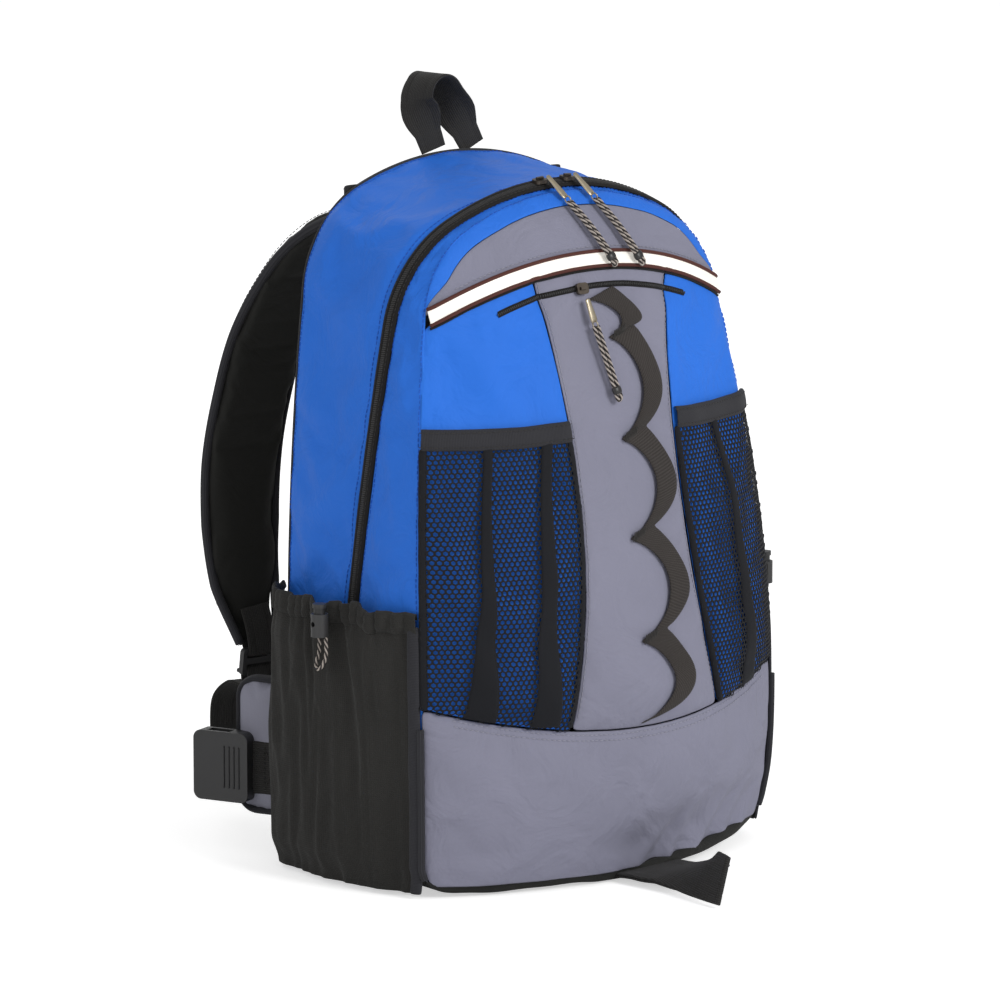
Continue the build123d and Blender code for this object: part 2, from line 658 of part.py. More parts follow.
def cord_locks():
    """Spring cord locks on the side pockets' hem cords, with the loose loops of cord."""
    pieces = {}
    loops = []
    for name, side in (("left", -1), ("right", 1)):
        y = LOCK_Y[side]
        x = side * (pocket_skin_x(y, 3.4) + 8.0)
        barrel_z = LOCK_Z - 10
        body = Cylinder(6.0, 16) - Pos(0, 0, 3) * Cylinder(4.2, 12)
        body = body - Pos(0, 0, 1.0) * Rot(0, 90, 0) * Cylinder(1.9, 30)
        pieces[f"cord_lock_{name}"] = Pos(x, y, barrel_z) * body
        button = Cylinder(4.0, 7) + Pos(0, 0, 5) * Cylinder(4.8, 3.0)
        pieces[f"cord_button_{name}"] = Pos(x, y, barrel_z + 8.5) * button
        z = barrel_z - 11
        loop = [
            (x - 2.5, y - 3.5, z + 1), (x - 2.5, y - 4, z - 9), (x, y - 3, z - 17),
            (x + 1, y + 1, z - 20), (x, y + 4, z - 16), (x - 2.5, y + 4, z - 9), (x - 2.5, y + 3.5, z + 1),
        ]
        loops.append(cord(loop, 1.3))
    pieces["drawcords"] = loops[0] + loops[1]
    return pieces


def build():
    """Every piece of the daypack by name."""
    pieces = {}
    pieces.update(walls())
    pieces.update(front_panels())
    pieces.update(front_layers())
    pieces.update(back_pieces())
    pieces.update(side_pockets())
    pieces.update(harness())
    pieces.update(hip_belt())
    pieces["haul_loop"] = haul_loop()
    pieces["lash_loop"] = lash_loop()
    pieces.update(zips())
    pieces.update(cord_locks())
    return pieces


os.makedirs("parts", exist_ok=True)
for node, shape in build().items():
    export_step(shape, f"parts/{node}.step")
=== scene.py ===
"""Looks of the daypack: fabric, webbing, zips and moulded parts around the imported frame.

Lengths are millimetres until a mesh is made. +Z is up, the front faces -Y, left is -X.
"""
from math import acos, atan, atan2, cos, pi, radians, sin, sqrt

import bpy
import numpy as np
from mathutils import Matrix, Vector
from mathutils.bvhtree import BVHTree


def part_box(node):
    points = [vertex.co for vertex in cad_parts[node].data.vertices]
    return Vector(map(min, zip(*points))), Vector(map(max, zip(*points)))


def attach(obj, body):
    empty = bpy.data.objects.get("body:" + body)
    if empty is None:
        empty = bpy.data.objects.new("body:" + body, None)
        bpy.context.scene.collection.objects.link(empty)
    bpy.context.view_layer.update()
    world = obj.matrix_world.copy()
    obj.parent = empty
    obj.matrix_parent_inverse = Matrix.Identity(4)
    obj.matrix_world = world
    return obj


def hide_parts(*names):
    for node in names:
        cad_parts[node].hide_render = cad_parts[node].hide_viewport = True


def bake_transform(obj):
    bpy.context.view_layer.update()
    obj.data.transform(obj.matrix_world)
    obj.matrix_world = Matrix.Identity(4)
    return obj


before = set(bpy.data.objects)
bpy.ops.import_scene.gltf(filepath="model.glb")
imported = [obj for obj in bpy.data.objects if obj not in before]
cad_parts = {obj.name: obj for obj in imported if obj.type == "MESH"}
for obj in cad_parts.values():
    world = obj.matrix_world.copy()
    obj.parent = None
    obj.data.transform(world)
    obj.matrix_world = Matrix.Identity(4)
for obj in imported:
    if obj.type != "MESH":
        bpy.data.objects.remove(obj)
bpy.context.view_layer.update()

MM = 0.001


def box_mm(node):
    """A CAD node's lowest and highest corners, in millimetres."""
    low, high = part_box(node)
    return np.array(low) / MM, np.array(high) / MM


# ---- shell dimensions ----------------------------------------------------------------------
BACK_Y = box_mm("back_panel")[1][1]
OPEN_Z = 190.0          # lower ends of the main zip
BASE_TOP = 16.0
CORNER_R = 26.0
ZIP_Y0, ZIP_LEAN = 25.7, radians(7.7)
FRONT_LEAN = radians(-4.3)
BOW_SPAN = 270.0
# waist half width and height, bow, shoulder height, apex, crown radius, shoulder radius
BACK = (150.0, 150.0, 16.0, 380.0, 492.0, 220.0, 85.0)
ZIP = (152.0, 150.0, 15.0, 380.0, 485.0, 205.0, 86.0)
FRONT = (158.0, 120.0, 24.8, 380.0, 476.0, 210.0, 75.0)
SEAM_DEPTH = ((0.0, 80.0), (150.0, 85.0), (320.0, 68.0), (476.0, 46.0))
FULLNESS = ((0.0, 0.0018), (150.0, 0.00205), (320.0, 0.0019), (476.0, 0.0016))
STRIPE_APEX, STRIPE_R, STRIPE_W = 429.6, 283.6, 8.5
LOWER_APEX, LOWER_R = 110.0, 527.0
MESH_TOP, BINDING_W = 324.0, 14.0
POCKET_ZIP = -17.2       # the pocket zip runs this far below the stripe
POCKET_ZIP_HALF_X = 84.0
# left tips of the daisy chain, top to bottom: x and height; then how far each bow swings right
CHAIN_TIPS = ((-12.0, 403.5), (0.0, 377.0), (-3.0, 308.0), (-9.0, 241.0), (-5.0, 170.0), (-6.0, 113.0))
CHAIN_REACH = (20.0, 26.0, 31.0, 34.0, 29.0)
CHAIN_NECK, CHAIN_SWELL = 25.0, -8.0      # its width at a tip, and how much that grows in a bow
CORNER_LIFT = 12.0      # how far the base's front right corner stands off the floor
CAP_INSET = 10.0        # the grey cap panel ends short of the front seam over the top
PACK_MIDDLE = np.array([0.0, 0.0, 220.0])
SIDES = (("left", -1), ("right", 1))


# ---- small maths ---------------------------------------------------------------------------
def smooth(t):
    t = np.clip(t, 0, 1)
    return t * t * (3 - 2 * t)


def through(z, table):
    """The polynomial through (z, value) pairs."""
    total = 0.0
    for i, (zi, value) in enumerate(table):
        weight = 1.0
        for j, (zj, _) in enumerate(table):
            if j != i:
                weight = weight * (z - zj) / (zi - zj)
        total = total + value * weight
    return total


def unit(vectors):
    """The same vector or rows of vectors at length one."""
    vectors = np.asarray(vectors, float)
    return vectors / np.linalg.norm(vectors, axis=-1, keepdims=True)


def spread(values, count):
    """A few values along a path, filled in to count values."""
    return np.interp(np.linspace(0, 1, count), np.linspace(0, 1, len(values)), values)


def lengths(points):
    """Distance along a path up to each of its points."""
    return np.concatenate([[0], np.cumsum(np.linalg.norm(np.diff(points, axis=0), axis=1))])


WAVE_COUNT = 7


def waves(p, size, seed):
    """Smooth noise in -1..1 from sine waves in seeded directions; p is (..., 2) or (..., 3)."""
    rng = np.random.default_rng(seed)
    total = np.zeros(p.shape[:-1])
    for _ in range(WAVE_COUNT):
        direction = unit(rng.normal(size=p.shape[-1]))
        wave = 2 * pi / (size * rng.uniform(0.6, 1.7))
        total = total + np.sin(p @ direction * wave + rng.uniform(0, 2 * pi))
    return total / sqrt(WAVE_COUNT)


def creases(p, size, seed):
    """Ridged noise: soft cloth folds with sharper crests."""
    return 1 - 2 * np.abs(waves(p + 6 * waves(p, size * 2, seed + 9)[..., None], size, seed))


def leg_x(o, z):
    return o[0] - o[2] * ((z - o[1]) / BOW_SPAN) ** 2


def arch(o):
    """Crown centre height, shoulder centre, leg's lean and crown's half angle of outline o."""
    lean = atan(2 * o[2] * (o[3] - o[1]) / BOW_SPAN ** 2)
    crown_z = o[4] - o[5]
    start_x = leg_x(o, o[3]) - o[6] * cos(lean)
    start_z = o[3] - o[6] * sin(lean) - crown_z
    b = -start_x * sin(lean) + start_z * cos(lean)
    c = start_x ** 2 + start_z ** 2 - (o[5] - o[6]) ** 2
    k = -b + sqrt(b * b - c)
    shoulder = (start_x - k * sin(lean), crown_z + start_z + k * cos(lean))
    turn = atan2(shoulder[1] - crown_z, shoulder[0])
    return crown_z, shoulder, lean, turn


def outline_point(o, q, foot_z):
    """Point (x, z) on outline o: q 0 is the apex, 1 and 2 end the crown and shoulder, 3 is at
    foot_z on the leg; negative q is the left side."""
    crown_z, shoulder, lean, turn = arch(o)
    side = -1.0 if q < 0 else 1.0
    q = abs(q)
    if q <= 1:
        angle = pi / 2 + (turn - pi / 2) * q
        x, z = o[5] * cos(angle), crown_z + o[5] * sin(angle)
    elif q <= 2:
        angle = turn + (lean - turn) * (q - 1)
        x, z = shoulder[0] + o[6] * cos(angle), shoulder[1] + o[6] * sin(angle)
    else:
        top_z = shoulder[1] + o[6] * sin(lean)
        z = top_z + (foot_z - top_z) * (q - 2)
        x = leg_x(o, z)
    return side * x, z


def width_squared(z):
    crown_z, shoulder, lean, turn = arch(FRONT)
    z = np.asarray(z, float)
    leg = leg_x(FRONT, z) ** 2
    reach = np.clip(FRONT[6] ** 2 - (z - shoulder[1]) ** 2, 0, None)
    mid = (shoulder[0] + np.sqrt(reach)) ** 2
    top = FRONT[5] ** 2 - (z - crown_z) ** 2
    leg_end = shoulder[1] + FRONT[6] * sin(lean)
    mid_end = crown_z + FRONT[5] * sin(turn)
    return np.where(z <= leg_end, leg, np.where(z < mid_end, mid, top))


def half_width(z):
    return np.sqrt(np.clip(width_squared(z), 0, None))


def face_y(x, z):
    """The front face's surface."""
    return -through(z, SEAM_DEPTH) - through(z, FULLNESS) * (width_squared(z) - x * x)


def rail_back(q):
    x, z = outline_point(BACK, q, OPEN_Z)
    return np.array([x, BACK_Y, z])


def rail_zip(q):
    x, s = outline_point(ZIP, q, OPEN_Z / cos(ZIP_LEAN))
    return np.array([x, ZIP_Y0 - s * sin(ZIP_LEAN), s * cos(ZIP_LEAN)])


def rail_front(q):
    x, s = outline_point(FRONT, q, OPEN_Z / cos(FRONT_LEAN))
    z = s * cos(FRONT_LEAN)
    return np.array([x, float(face_y(x, z)), z])


# ---- seams of the front face ---------------------------------------------------------------
STRIPE_Z = STRIPE_APEX - STRIPE_R
LOWER_Z = LOWER_APEX + LOWER_R


def stripe_z(x, offset=0.0):
    return STRIPE_Z + np.sqrt((STRIPE_R + offset) ** 2 - x * x)


def lower_z(x):
    return LOWER_Z - np.sqrt(LOWER_R ** 2 - x * x)


def centre_left(z):
    return through(z, ((425, -52), (285, -41), (105, -62)))


def centre_right(z):
    return through(z, ((425, 73), (285, 51), (105, 79)))


def seam_distance(x, z):
    """Distance, roughly, from the nearest seam of the front face."""
    lines = [
        np.abs(z - lower_z(x)),
        np.abs(z - stripe_z(x, 1.0)),
        half_width(z) - np.abs(x),
        np.where((z > lower_z(x)) & (z < stripe_z(x)), np.abs(x - centre_left(z)), 400.0),
        np.where((z > lower_z(x)) & (z < stripe_z(x)), np.abs(x - centre_right(z)), 400.0),
    ]
    return np.min(np.stack(np.broadcast_arrays(*lines)), axis=0)


def face_puff(x, z):
    """How far the fabric stands off the drawn front face."""
    d = np.clip(seam_distance(x, z), 0, None)
    p = np.stack(np.broadcast_arrays(x, z), axis=-1)
    pillow = 2.4 * (1 - np.exp(-d / 22)) - 1.5 * np.exp(-(d / 2.6) ** 2)
    soft = 0.9 * waves(p, 85, 3) + 0.35 * creases(p * [1.0, 0.55], 34, 5)
    d_zip = (z - stripe_z(x, POCKET_ZIP)) / 7.0
    pillow = pillow - 2.6 * np.exp(-d_zip ** 2) * smooth((POCKET_ZIP_HALF_X + 10 - abs(x)) / 20)
    pucker = 0.28 * np.sin(z * 0.9 + x * 0.35) * np.exp(-d / 5)
    return pillow + soft * (1 - np.exp(-d / 14)) + pucker + lower_folds(x, z) * (1 - np.exp(-d / 8))


def lower_folds(x, z):
    """Slanting folds where the lower panel bunches above the base, on the right."""
    reach = smooth((x + 25) / 50) * smooth((150 - x) / 45) * smooth((66 - z) / 46)
    across = x * cos(radians(28)) - z * sin(radians(28)) + 5 * waves(np.stack([x, z], axis=-1), 60, 17)
    ridge = np.abs(np.sin(pi * across / 27.0))
    return reach * (3.6 - 8.0 * ridge ** 0.8) - 3.5 * reach


def on_face(x, z, lift=0.0, puff=True):
    """Points on the front face at x, z, lifted off the fabric along its normal."""
    x, z = np.broadcast_arrays(np.asarray(x, float), np.asarray(z, float))
    step = 0.5
    slope_x = (face_y(x + step, z) - face_y(x - step, z)) / (2 * step)
    slope_z = (face_y(x, z + step) - face_y(x, z - step)) / (2 * step)
    normal = unit(np.stack([slope_x, -np.ones_like(x), slope_z], axis=-1))
    height = lift + (face_puff(x, z) if puff else 0.0)
    base = np.stack([x, face_y(x, z), z], axis=-1)
    return base + normal * np.asarray(height)[..., None]


cloth_tree = []


def on_cloth(x, z, lift=0.0):
    """Points over the finished front panels at x, z, lifted along the face's normal."""
    x, z = np.broadcast_arrays(np.asarray(x, float), np.asarray(z, float))
    drawn = on_face(x, z, 0.0)
    raised = on_face(x, z, 1.0) - drawn
    hit_y = drawn[..., 1].copy()
    flat_hit = hit_y.reshape(-1)
    for i, (px, pz) in enumerate(zip(x.reshape(-1), z.reshape(-1))):
        for tree in cloth_tree:
            place = tree.ray_cast(Vector((px * MM, -0.4, pz * MM)), Vector((0, 1, 0)), 0.42)[0]
            if place is not None and abs(place.y / MM - flat_hit[i]) < 12:
                flat_hit[i] = place.y / MM
                break
    base = np.stack([x, flat_hit.reshape(x.shape), z], axis=-1)
    return base + raised * np.asarray(lift, float)[..., None]


def remember_cloth(objects):
    """Makes the finished panels available to on_cloth."""
    graph = bpy.context.evaluated_depsgraph_get()
    for obj in objects:
        cloth_tree.append(BVHTree.FromObject(obj, graph))


# ---- mesh building -------------------------------------------------------------------------
def new_object(name, vertices, faces, uv=None):
    """A mesh object in the scene from points in millimetres, with cloth coordinates if given."""
    mesh = bpy.data.meshes.new(name)
    mesh.from_pydata((np.asarray(vertices) * MM).tolist(), [], faces)
    mesh.validate()
    if uv is not None:
        layer = mesh.uv_layers.new(name="cloth")
        index = np.zeros(len(mesh.loops), int)
        mesh.loops.foreach_get("vertex_index", index)
        layer.data.foreach_set("uv", (np.asarray(uv, float)[index] / 10.0).ravel())
    mesh.polygons.foreach_set("use_smooth", [True] * len(mesh.polygons))
    obj = bpy.data.objects.new(name, mesh)
    bpy.context.scene.collection.objects.link(obj)
    return obj


def mesh_points(mesh):
    """A mesh's points in metres, (n, 3)."""
    points = np.zeros(len(mesh.vertices) * 3)
    mesh.vertices.foreach_get("co", points)
    return points.reshape(-1, 3)


def move_points(mesh, points):
    mesh.vertices.foreach_set("co", points.ravel())
    mesh.update()


def thicken(obj, thickness):
    """Gives a sheet its thickness, half to each side."""
    solid = obj.modifiers.new("thickness", "SOLIDIFY")
    solid.thickness = thickness * MM
    solid.offset = 0.0


def rounded_off(obj, levels):
    """Smooths an object's mesh by subdivision."""
    modifier = obj.modifiers.new("smooth", "SUBSURF")
    modifier.levels = levels
    modifier.render_levels = levels


def grid_faces(rows, columns, closed=False):
    faces = []
    wrap = columns if closed else columns - 1
    for i in range(rows - 1):
        for j in range(wrap):
            k = (j + 1) % columns
            faces.append((i * columns + j, i * columns + k, (i + 1) * columns + k, (i + 1) * columns + j))
    return faces


def grid_uv(points):
    """Cloth coordinates in millimetres, measured along the grid."""
    along = np.linalg.norm(np.diff(points, axis=0), axis=-1).mean(axis=1)
    across = np.linalg.norm(np.diff(points, axis=1), axis=-1)
    v = np.concatenate([[0], np.cumsum(along)])
    u = np.concatenate([np.zeros((points.shape[0], 1)), np.cumsum(across, axis=1)], axis=1)
    u = u - u[:, -1:] / 2
    return np.stack([u, np.broadcast_to(v[:, None], u.shape)], axis=-1).reshape(-1, 2)


def grid_normals(points, outward):
    """Unit normals of a grid, turned to the side of the outward vectors."""
    normal = np.cross(np.gradient(points, axis=0), np.gradient(points, axis=1))
    length = np.linalg.norm(normal, axis=-1, keepdims=True)
    normal = normal / np.where(length < 1e-9, 1, length)
    flip = np.sign((normal * outward).sum(-1).mean())
    return normal * flip


def cloth_grid(name, points, material, thickness=1.2):
    """A sheet of cloth from a grid of points, its thickness inwards."""
    rows, columns = points.shape[:2]
    normal = np.cross(np.gradient(points, axis=0), np.gradient(points, axis=1))
    outwards = (normal * (points - PACK_MIDDLE)).sum() > 0
    faces = grid_faces(rows, columns)
    if outwards:
        faces = [f[::-1] for f in faces]
    obj = new_object(name, points.reshape(-1, 3), faces, grid_uv(points))
    obj.data.materials.append(material)
    thicken(obj, thickness)
    rounded_off(obj, 1)
    return obj


def path_frames(points, across=None):
    """Tangents, side and upright directions along a path; side follows across if given."""
    points = np.asarray(points, float)
    tangent = unit(np.gradient(points, axis=0))
    if across is not None:
        side = np.broadcast_to(np.asarray(across, float), points.shape)
        side = unit(side - tangent * (side * tangent).sum(1, keepdims=True))
    else:
        side = np.zeros_like(points)
        side[0] = unit(np.cross(tangent[0], [0.31, 0.17, 0.93]))
        for i in range(1, len(points)):
            side[i] = unit(side[i - 1] - tangent[i] * (side[i - 1] @ tangent[i]))
    up = np.cross(side, tangent)
    return tangent, side, up


def sweep_section(name, points, section, material, across=None, scale=None, caps=True):
    """A closed section, (n, 2) in millimetres side and up, swept along points."""
    points = np.asarray(points, float)
    _, side, up = path_frames(points, across)
    section = np.asarray(section, float)
    sections = np.broadcast_to(section, (len(points),) + section.shape[-2:])
    if scale is not None:
        sections = sections * np.asarray(scale, float)[:, None, :]
    rings = points[:, None] + side[:, None] * sections[..., :1] + up[:, None] * sections[..., 1:]
    rows, columns = rings.shape[:2]
    faces = [f[::-1] for f in grid_faces(rows, columns, closed=True)]
    if caps:
        faces.append(tuple(range(columns)))
        faces.append(tuple(range(rows * columns - 1, (rows - 1) * columns - 1, -1)))
    length = lengths(points)
    uv = np.stack(np.broadcast_arrays(sections[..., 0], length[:, None]), axis=-1).reshape(-1, 2)
    obj = new_object(name, rings.reshape(-1, 3), faces, uv)
    obj.data.materials.append(material)
    return obj


def flat_section(width, thickness):
    """Webbing's section: a flat band with rounded edges and two shallow grooves."""
    half, t = width / 2, thickness / 2
    r = t * 0.9
    left = [(-half, 0), (-half + r * 0.35, t * 0.75), (-half + r, t), (-half * 0.62, t),
            (-half * 0.56, t * 0.72), (-half * 0.5, t)]
    top = left + [(0, t * 1.05)] + [(-x, z) for x, z in reversed(left)]
    bottom = [(x, -z) for x, z in reversed(top[1:-1])]
    return np.array(top + bottom)[::-1]


def oval_section(half_width, half_height, count=10):
    angle = np.linspace(0, 2 * pi, count, endpoint=False)
    return np.stack([half_width * np.cos(angle), half_height * np.sin(angle)], axis=1)


def curve_through(points, count):
    """A smooth curve through points (Catmull-Rom), with count points at even spacing."""
    points = np.asarray(points, float)
    padded = np.vstack([2 * points[0] - points[1], points, 2 * points[-1] - points[-2]])
    out = []
    for i in range(1, len(padded) - 2):
        a, b, c, d = padded[i - 1:i + 3]
        for t in np.linspace(0, 1, 24, endpoint=False):
            out.append(0.5 * (2 * b + (c - a) * t + (2 * a - 5 * b + 4 * c - d) * t * t
                              + (3 * b - a - 3 * c + d) * t ** 3))
    out.append(points[-1])
    out = np.array(out)
    return even(out, count)


def even(points, count):
    """The same path with count points at even spacing."""
    length = lengths(points)
    at = np.linspace(0, length[-1], count)
    return np.stack([np.interp(at, length, points[:, k]) for k in range(points.shape[1])], axis=1)


def path_length(points):
    return float(np.linalg.norm(np.diff(points, axis=0), axis=1).sum())


def tube(name, points, radius, material, sides=10):
    return sweep_section(name, points, oval_section(radius, radius, sides), material)


def join(name, objects):
    """One object from several, with their modifiers and materials kept in the mesh."""
    graph = bpy.context.evaluated_depsgraph_get()
    for o in objects:
        mesh = bpy.data.meshes.new_from_object(o.evaluated_get(graph))
        o.modifiers.clear()
        o.data = mesh
    with bpy.context.temp_override(active_object=objects[0], selected_editable_objects=objects):
        if len(objects) > 1:
            bpy.ops.object.join()
    objects[0].name = name
    objects[0].data.name = name
    return objects[0]


def capsule():
    """A short rounded bar along x, unit half length, unit radius."""
    rings = [(-1.0, 0.55), (-0.72, 1.0), (0.72, 1.0), (1.0, 0.55)]
    sides = 6
    vertices = []
    for x, r in rings:
        for k in range(sides):
            angle = 2 * pi * k / sides
            vertices.append((x, r * cos(angle), r * sin(angle)))
    faces = grid_faces(len(rings), sides, closed=True)
    faces.append(tuple(range(sides))[::-1])
    faces.append(tuple(range(3 * sides, 4 * sides)))
    return np.array(vertices), faces


def stamp(name, template, centres, x_axis, y_axis, size, material):
    """Copies of a template at centres, turned to the given axes and scaled to size."""
    vertices, faces = template
    x_axis = unit(x_axis)
    y_axis = unit(y_axis - x_axis * (y_axis * x_axis).sum(1, keepdims=True))
    z_axis = np.cross(x_axis, y_axis)
    scaled = vertices * np.asarray(size)
    placed = centres[:, None]
    for k, axis in enumerate((x_axis, y_axis, z_axis)):
        placed = placed + scaled[None, :, k:k + 1] * axis[:, None]
    count = len(vertices)
    all_faces = [tuple(v + i * count for v in f) for i in range(len(centres)) for f in faces]
    obj = new_object(name, placed.reshape(-1, 3), all_faces)
    obj.data.materials.append(material)
    return obj


def stitches(name, points, normals, material, length=2.6, gap=1.1, radius=0.34, sink=0.1):
    """A row of stitches along a path that lies on cloth with the given normals."""
    total = path_length(points)
    count = max(2, int(total / (length + gap)))
    both = even(np.hstack([points, normals * 1.0]), count)
    centre, normal = both[:, :3], both[:, 3:]
    tangent = np.gradient(centre, axis=0)
    return stamp(name, capsule(), centre - normal * sink, tangent, np.cross(normal, tangent),
                 (length / 2, radius, radius), material)


def ride_on(obj, body, *nodes):
    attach(obj, body)
    if nodes:
        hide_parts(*nodes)
    return obj


# ---- materials -----------------------------------------------------------------------------
def linear(r, g, b):
    """A colour given in 0..255 display values, as scene linear values."""
    out = []
    for c in (r, g, b):
        c = c / 255.0
        out.append(c / 12.92 if c <= 0.04045 else ((c + 0.055) / 1.055) ** 2.4)
    return tuple(out) + (1.0,)


def shade_of(colour, factor, more=0.0):
    """A colour made lighter or darker."""
    return tuple(min(1.0, c * factor + more) for c in colour[:3]) + (1.0,)


class Nodes:
    """A short way to write a node material."""

    def __init__(self, name):
        self.material = bpy.data.materials.new(name)
        self.material.use_nodes = True
        self.tree = self.material.node_tree
        self.shader = self.tree.nodes["Principled BSDF"]

    def add(self, kind, **values):
        node = self.tree.nodes.new(kind)
        for key, value in values.items():
            if key in node.inputs:
                self.feed(node.inputs[key], value)
            else:
                setattr(node, key, value)
        return node

    def feed(self, socket, value):
        if isinstance(value, bpy.types.NodeSocket):
            self.tree.links.new(value, socket)
        else:
            socket.default_value = value

    def math(self, operation, a, b=0.0):
        node = self.tree.nodes.new("ShaderNodeMath")
        node.operation = operation
        self.feed(node.inputs[0], a)
        self.feed(node.inputs[1], b)
        return node.outputs[0]

    def mix(self, factor, a, b):
        node = self.tree.nodes.new("ShaderNodeMix")
        node.data_type = "RGBA"
        self.feed(node.inputs[0], factor)
        self.feed(node.inputs[6], a)
        self.feed(node.inputs[7], b)
        return node.outputs[2]

    def noise(self, vector, scale, detail=3.0, roughness=0.55):
        node = self.add("ShaderNodeTexNoise", Vector=vector, Scale=scale, Detail=detail, Roughness=roughness)
        return node.outputs["Fac"]

    def wave(self, vector, scale, direction, distortion=0.0):
        node = self.add("ShaderNodeTexWave", Vector=vector, Scale=scale, Distortion=distortion)
        node.bands_direction = direction
        return node.outputs["Fac"]

    def set(self, **values):
        for key, value in values.items():
            self.feed(self.shader.inputs[key.replace("_", " ")], value)
        return self.material

    def bump(self, height, distance):
        node = self.add("ShaderNodeBump", Height=height, Distance=distance * MM, Strength=1.0)
        self.feed(self.shader.inputs["Normal"], node.outputs[0])


BAND = pi      # wave texture scale that gives one band per millimetre in centimetre coordinates


def cloth(name, colour, pitch=0.7, depth=0.12, sheen=0.25, roughness=0.72, vary=0.10, tint=None, grain="uv",
          wrinkle=0.0, speckle=0.18):
    """Woven cloth: two crossed ranks of yarn, soft colour variation, fibre noise and sheen."""
    m = Nodes(name)
    coordinates = m.add("ShaderNodeTexCoord")
    place = coordinates.outputs["Object"]
    weave_at = coordinates.outputs["UV"] if grain == "uv" else m.add(
        "ShaderNodeVectorMath", operation="SCALE", Scale=100.0).outputs[0]
    if grain != "uv":
        m.tree.links.new(place, weave_at.node.inputs[0])
    per_cm = BAND / pitch
    warp = m.wave(weave_at, per_cm, "X", 0.4)
    weft = m.wave(weave_at, per_cm, "Y" if grain == "uv" else "Z", 0.4)
    weave = m.math("MULTIPLY", m.math("ADD", warp, weft), 0.5)
    broad = m.noise(place, 9.0, 4.0)
    fibre = m.noise(place, 900.0, 2.0)
    dark = shade_of(colour, 1 - vary * 1.6)
    light = tint or shade_of(colour, 1 + vary, 0.004)
    shade = m.mix(broad, dark, light)
    shade = m.mix(m.math("MULTIPLY", m.math("SUBTRACT", 1.0, weave), 0.35), shade, dark)
    shade = m.mix(m.math("MULTIPLY", fibre, speckle), shade, light)
    edge = m.add("ShaderNodeNewGeometry").outputs["Pointiness"]
    worn = m.math("MULTIPLY", m.math("MAXIMUM", m.math("SUBTRACT", edge, 0.53), 0.0), 2.2)
    shade = m.mix(worn, shade, shade_of(colour, 1.5, 0.02))
    height = m.math("ADD", weave, m.math("MULTIPLY", fibre, 0.5))
    m.bump(height, depth)
    if wrinkle:
        soft = m.add("ShaderNodeTexNoise", Vector=place, Scale=24.0, Detail=4.0, Roughness=0.5,
                     Distortion=0.9)
        creased = m.add("ShaderNodeBump", Height=soft.outputs["Fac"], Distance=wrinkle * MM, Strength=1.0)
        m.tree.links.new(creased.outputs[0], m.shader.inputs["Normal"].links[0].from_node.inputs["Normal"])
    rough = m.math("ADD", roughness - 0.08, m.math("MULTIPLY", broad, 0.16))
    return m.set(Base_Color=shade, Roughness=rough, Sheen_Weight=sheen, Sheen_Roughness=0.4,
                 Specular_IOR_Level=0.22)


def ribbed(name, colour, rib=1.5, depth=0.25, roughness=0.66):
    """Webbing: ribs along its length, crossed by a fine weft."""
    m = Nodes(name)
    coordinates = m.add("ShaderNodeTexCoord")
    uv = coordinates.outputs["UV"]
    ribs = m.wave(uv, BAND / rib, "X", 0.0)
    weft = m.wave(uv, BAND / 0.9, "DIAGONAL", 0.3)
    fibre = m.noise(coordinates.outputs["Object"], 700.0, 2.0)
    broad = m.noise(coordinates.outputs["Object"], 25.0, 3.0)
    light = shade_of(colour, 1.9, 0.012)
    shade = m.mix(m.math("MULTIPLY", ribs, 0.55), colour, light)
    shade = m.mix(m.math("MULTIPLY", m.math("MULTIPLY", fibre, broad), 0.5), shade, light)
    height = m.math("ADD", ribs, m.math("MULTIPLY", weft, 0.5))
    m.bump(m.math("ADD", height, m.math("MULTIPLY", fibre, 0.3)), depth)
    return m.set(Base_Color=shade, Roughness=roughness, Sheen_Weight=0.06, Specular_IOR_Level=0.22)


def moulded(name, colour, roughness=0.42):
    """Moulded plastic: fine spark-eroded grain, scuffs, and paler worn edges."""
    m = Nodes(name)
    place = m.add("ShaderNodeTexCoord").outputs["Object"]
    grain = m.noise(place, 1500.0, 2.0)
    scuff = m.noise(place, 120.0, 5.0, 0.7)
    edge = m.add("ShaderNodeNewGeometry").outputs["Pointiness"]
    worn = m.math("MULTIPLY", m.math("MAXIMUM", m.math("SUBTRACT", edge, 0.52), 0.0), 4.0)
    light = shade_of(colour, 2.2, 0.03)
    shade = m.mix(m.math("MULTIPLY", scuff, 0.25), colour, light)
    shade = m.mix(worn, shade, light)
    m.bump(grain, 0.05)
    rough = m.math("ADD", roughness - 0.1, m.math("MULTIPLY", scuff, 0.22))
    return m.set(Base_Color=shade, Roughness=rough, Specular_IOR_Level=0.5)


def metal(name, colour, roughness=0.34):
    """Die cast or stamped metal with fine scratches."""
    m = Nodes(name)
    place = m.add("ShaderNodeTexCoord").outputs["Object"]
    scratch = m.noise(place, 600.0, 6.0, 0.75)
    broad = m.noise(place, 60.0, 3.0)
    dark = shade_of(colour, 0.6)
    m.bump(scratch, 0.04)
    rough = m.math("ADD", roughness - 0.12, m.math("MULTIPLY", scratch, 0.3))
    return m.set(Base_Color=m.mix(broad, dark, colour), Metallic=0.9, Roughness=rough)


def reflective_tape(name):
    """Glass bead tape: near white, with a fine sparkle."""
    m = Nodes(name)
    place = m.add("ShaderNodeTexCoord").outputs["Object"]
    beads = m.add("ShaderNodeTexVoronoi", Vector=place, Scale=1800.0).outputs["Distance"]
    broad = m.noise(place, 40.0, 3.0)
    shade = m.mix(broad, linear(236, 231, 222), linear(255, 252, 246))
    m.bump(beads, 0.05)
    # The emission is painted light: a faint glow that stands in for the flash thrown back by the glass beads.
    return m.set(Base_Color=shade, Roughness=0.35, Specular_IOR_Level=0.7,
                 Emission_Color=linear(255, 250, 240), Emission_Strength=0.22)


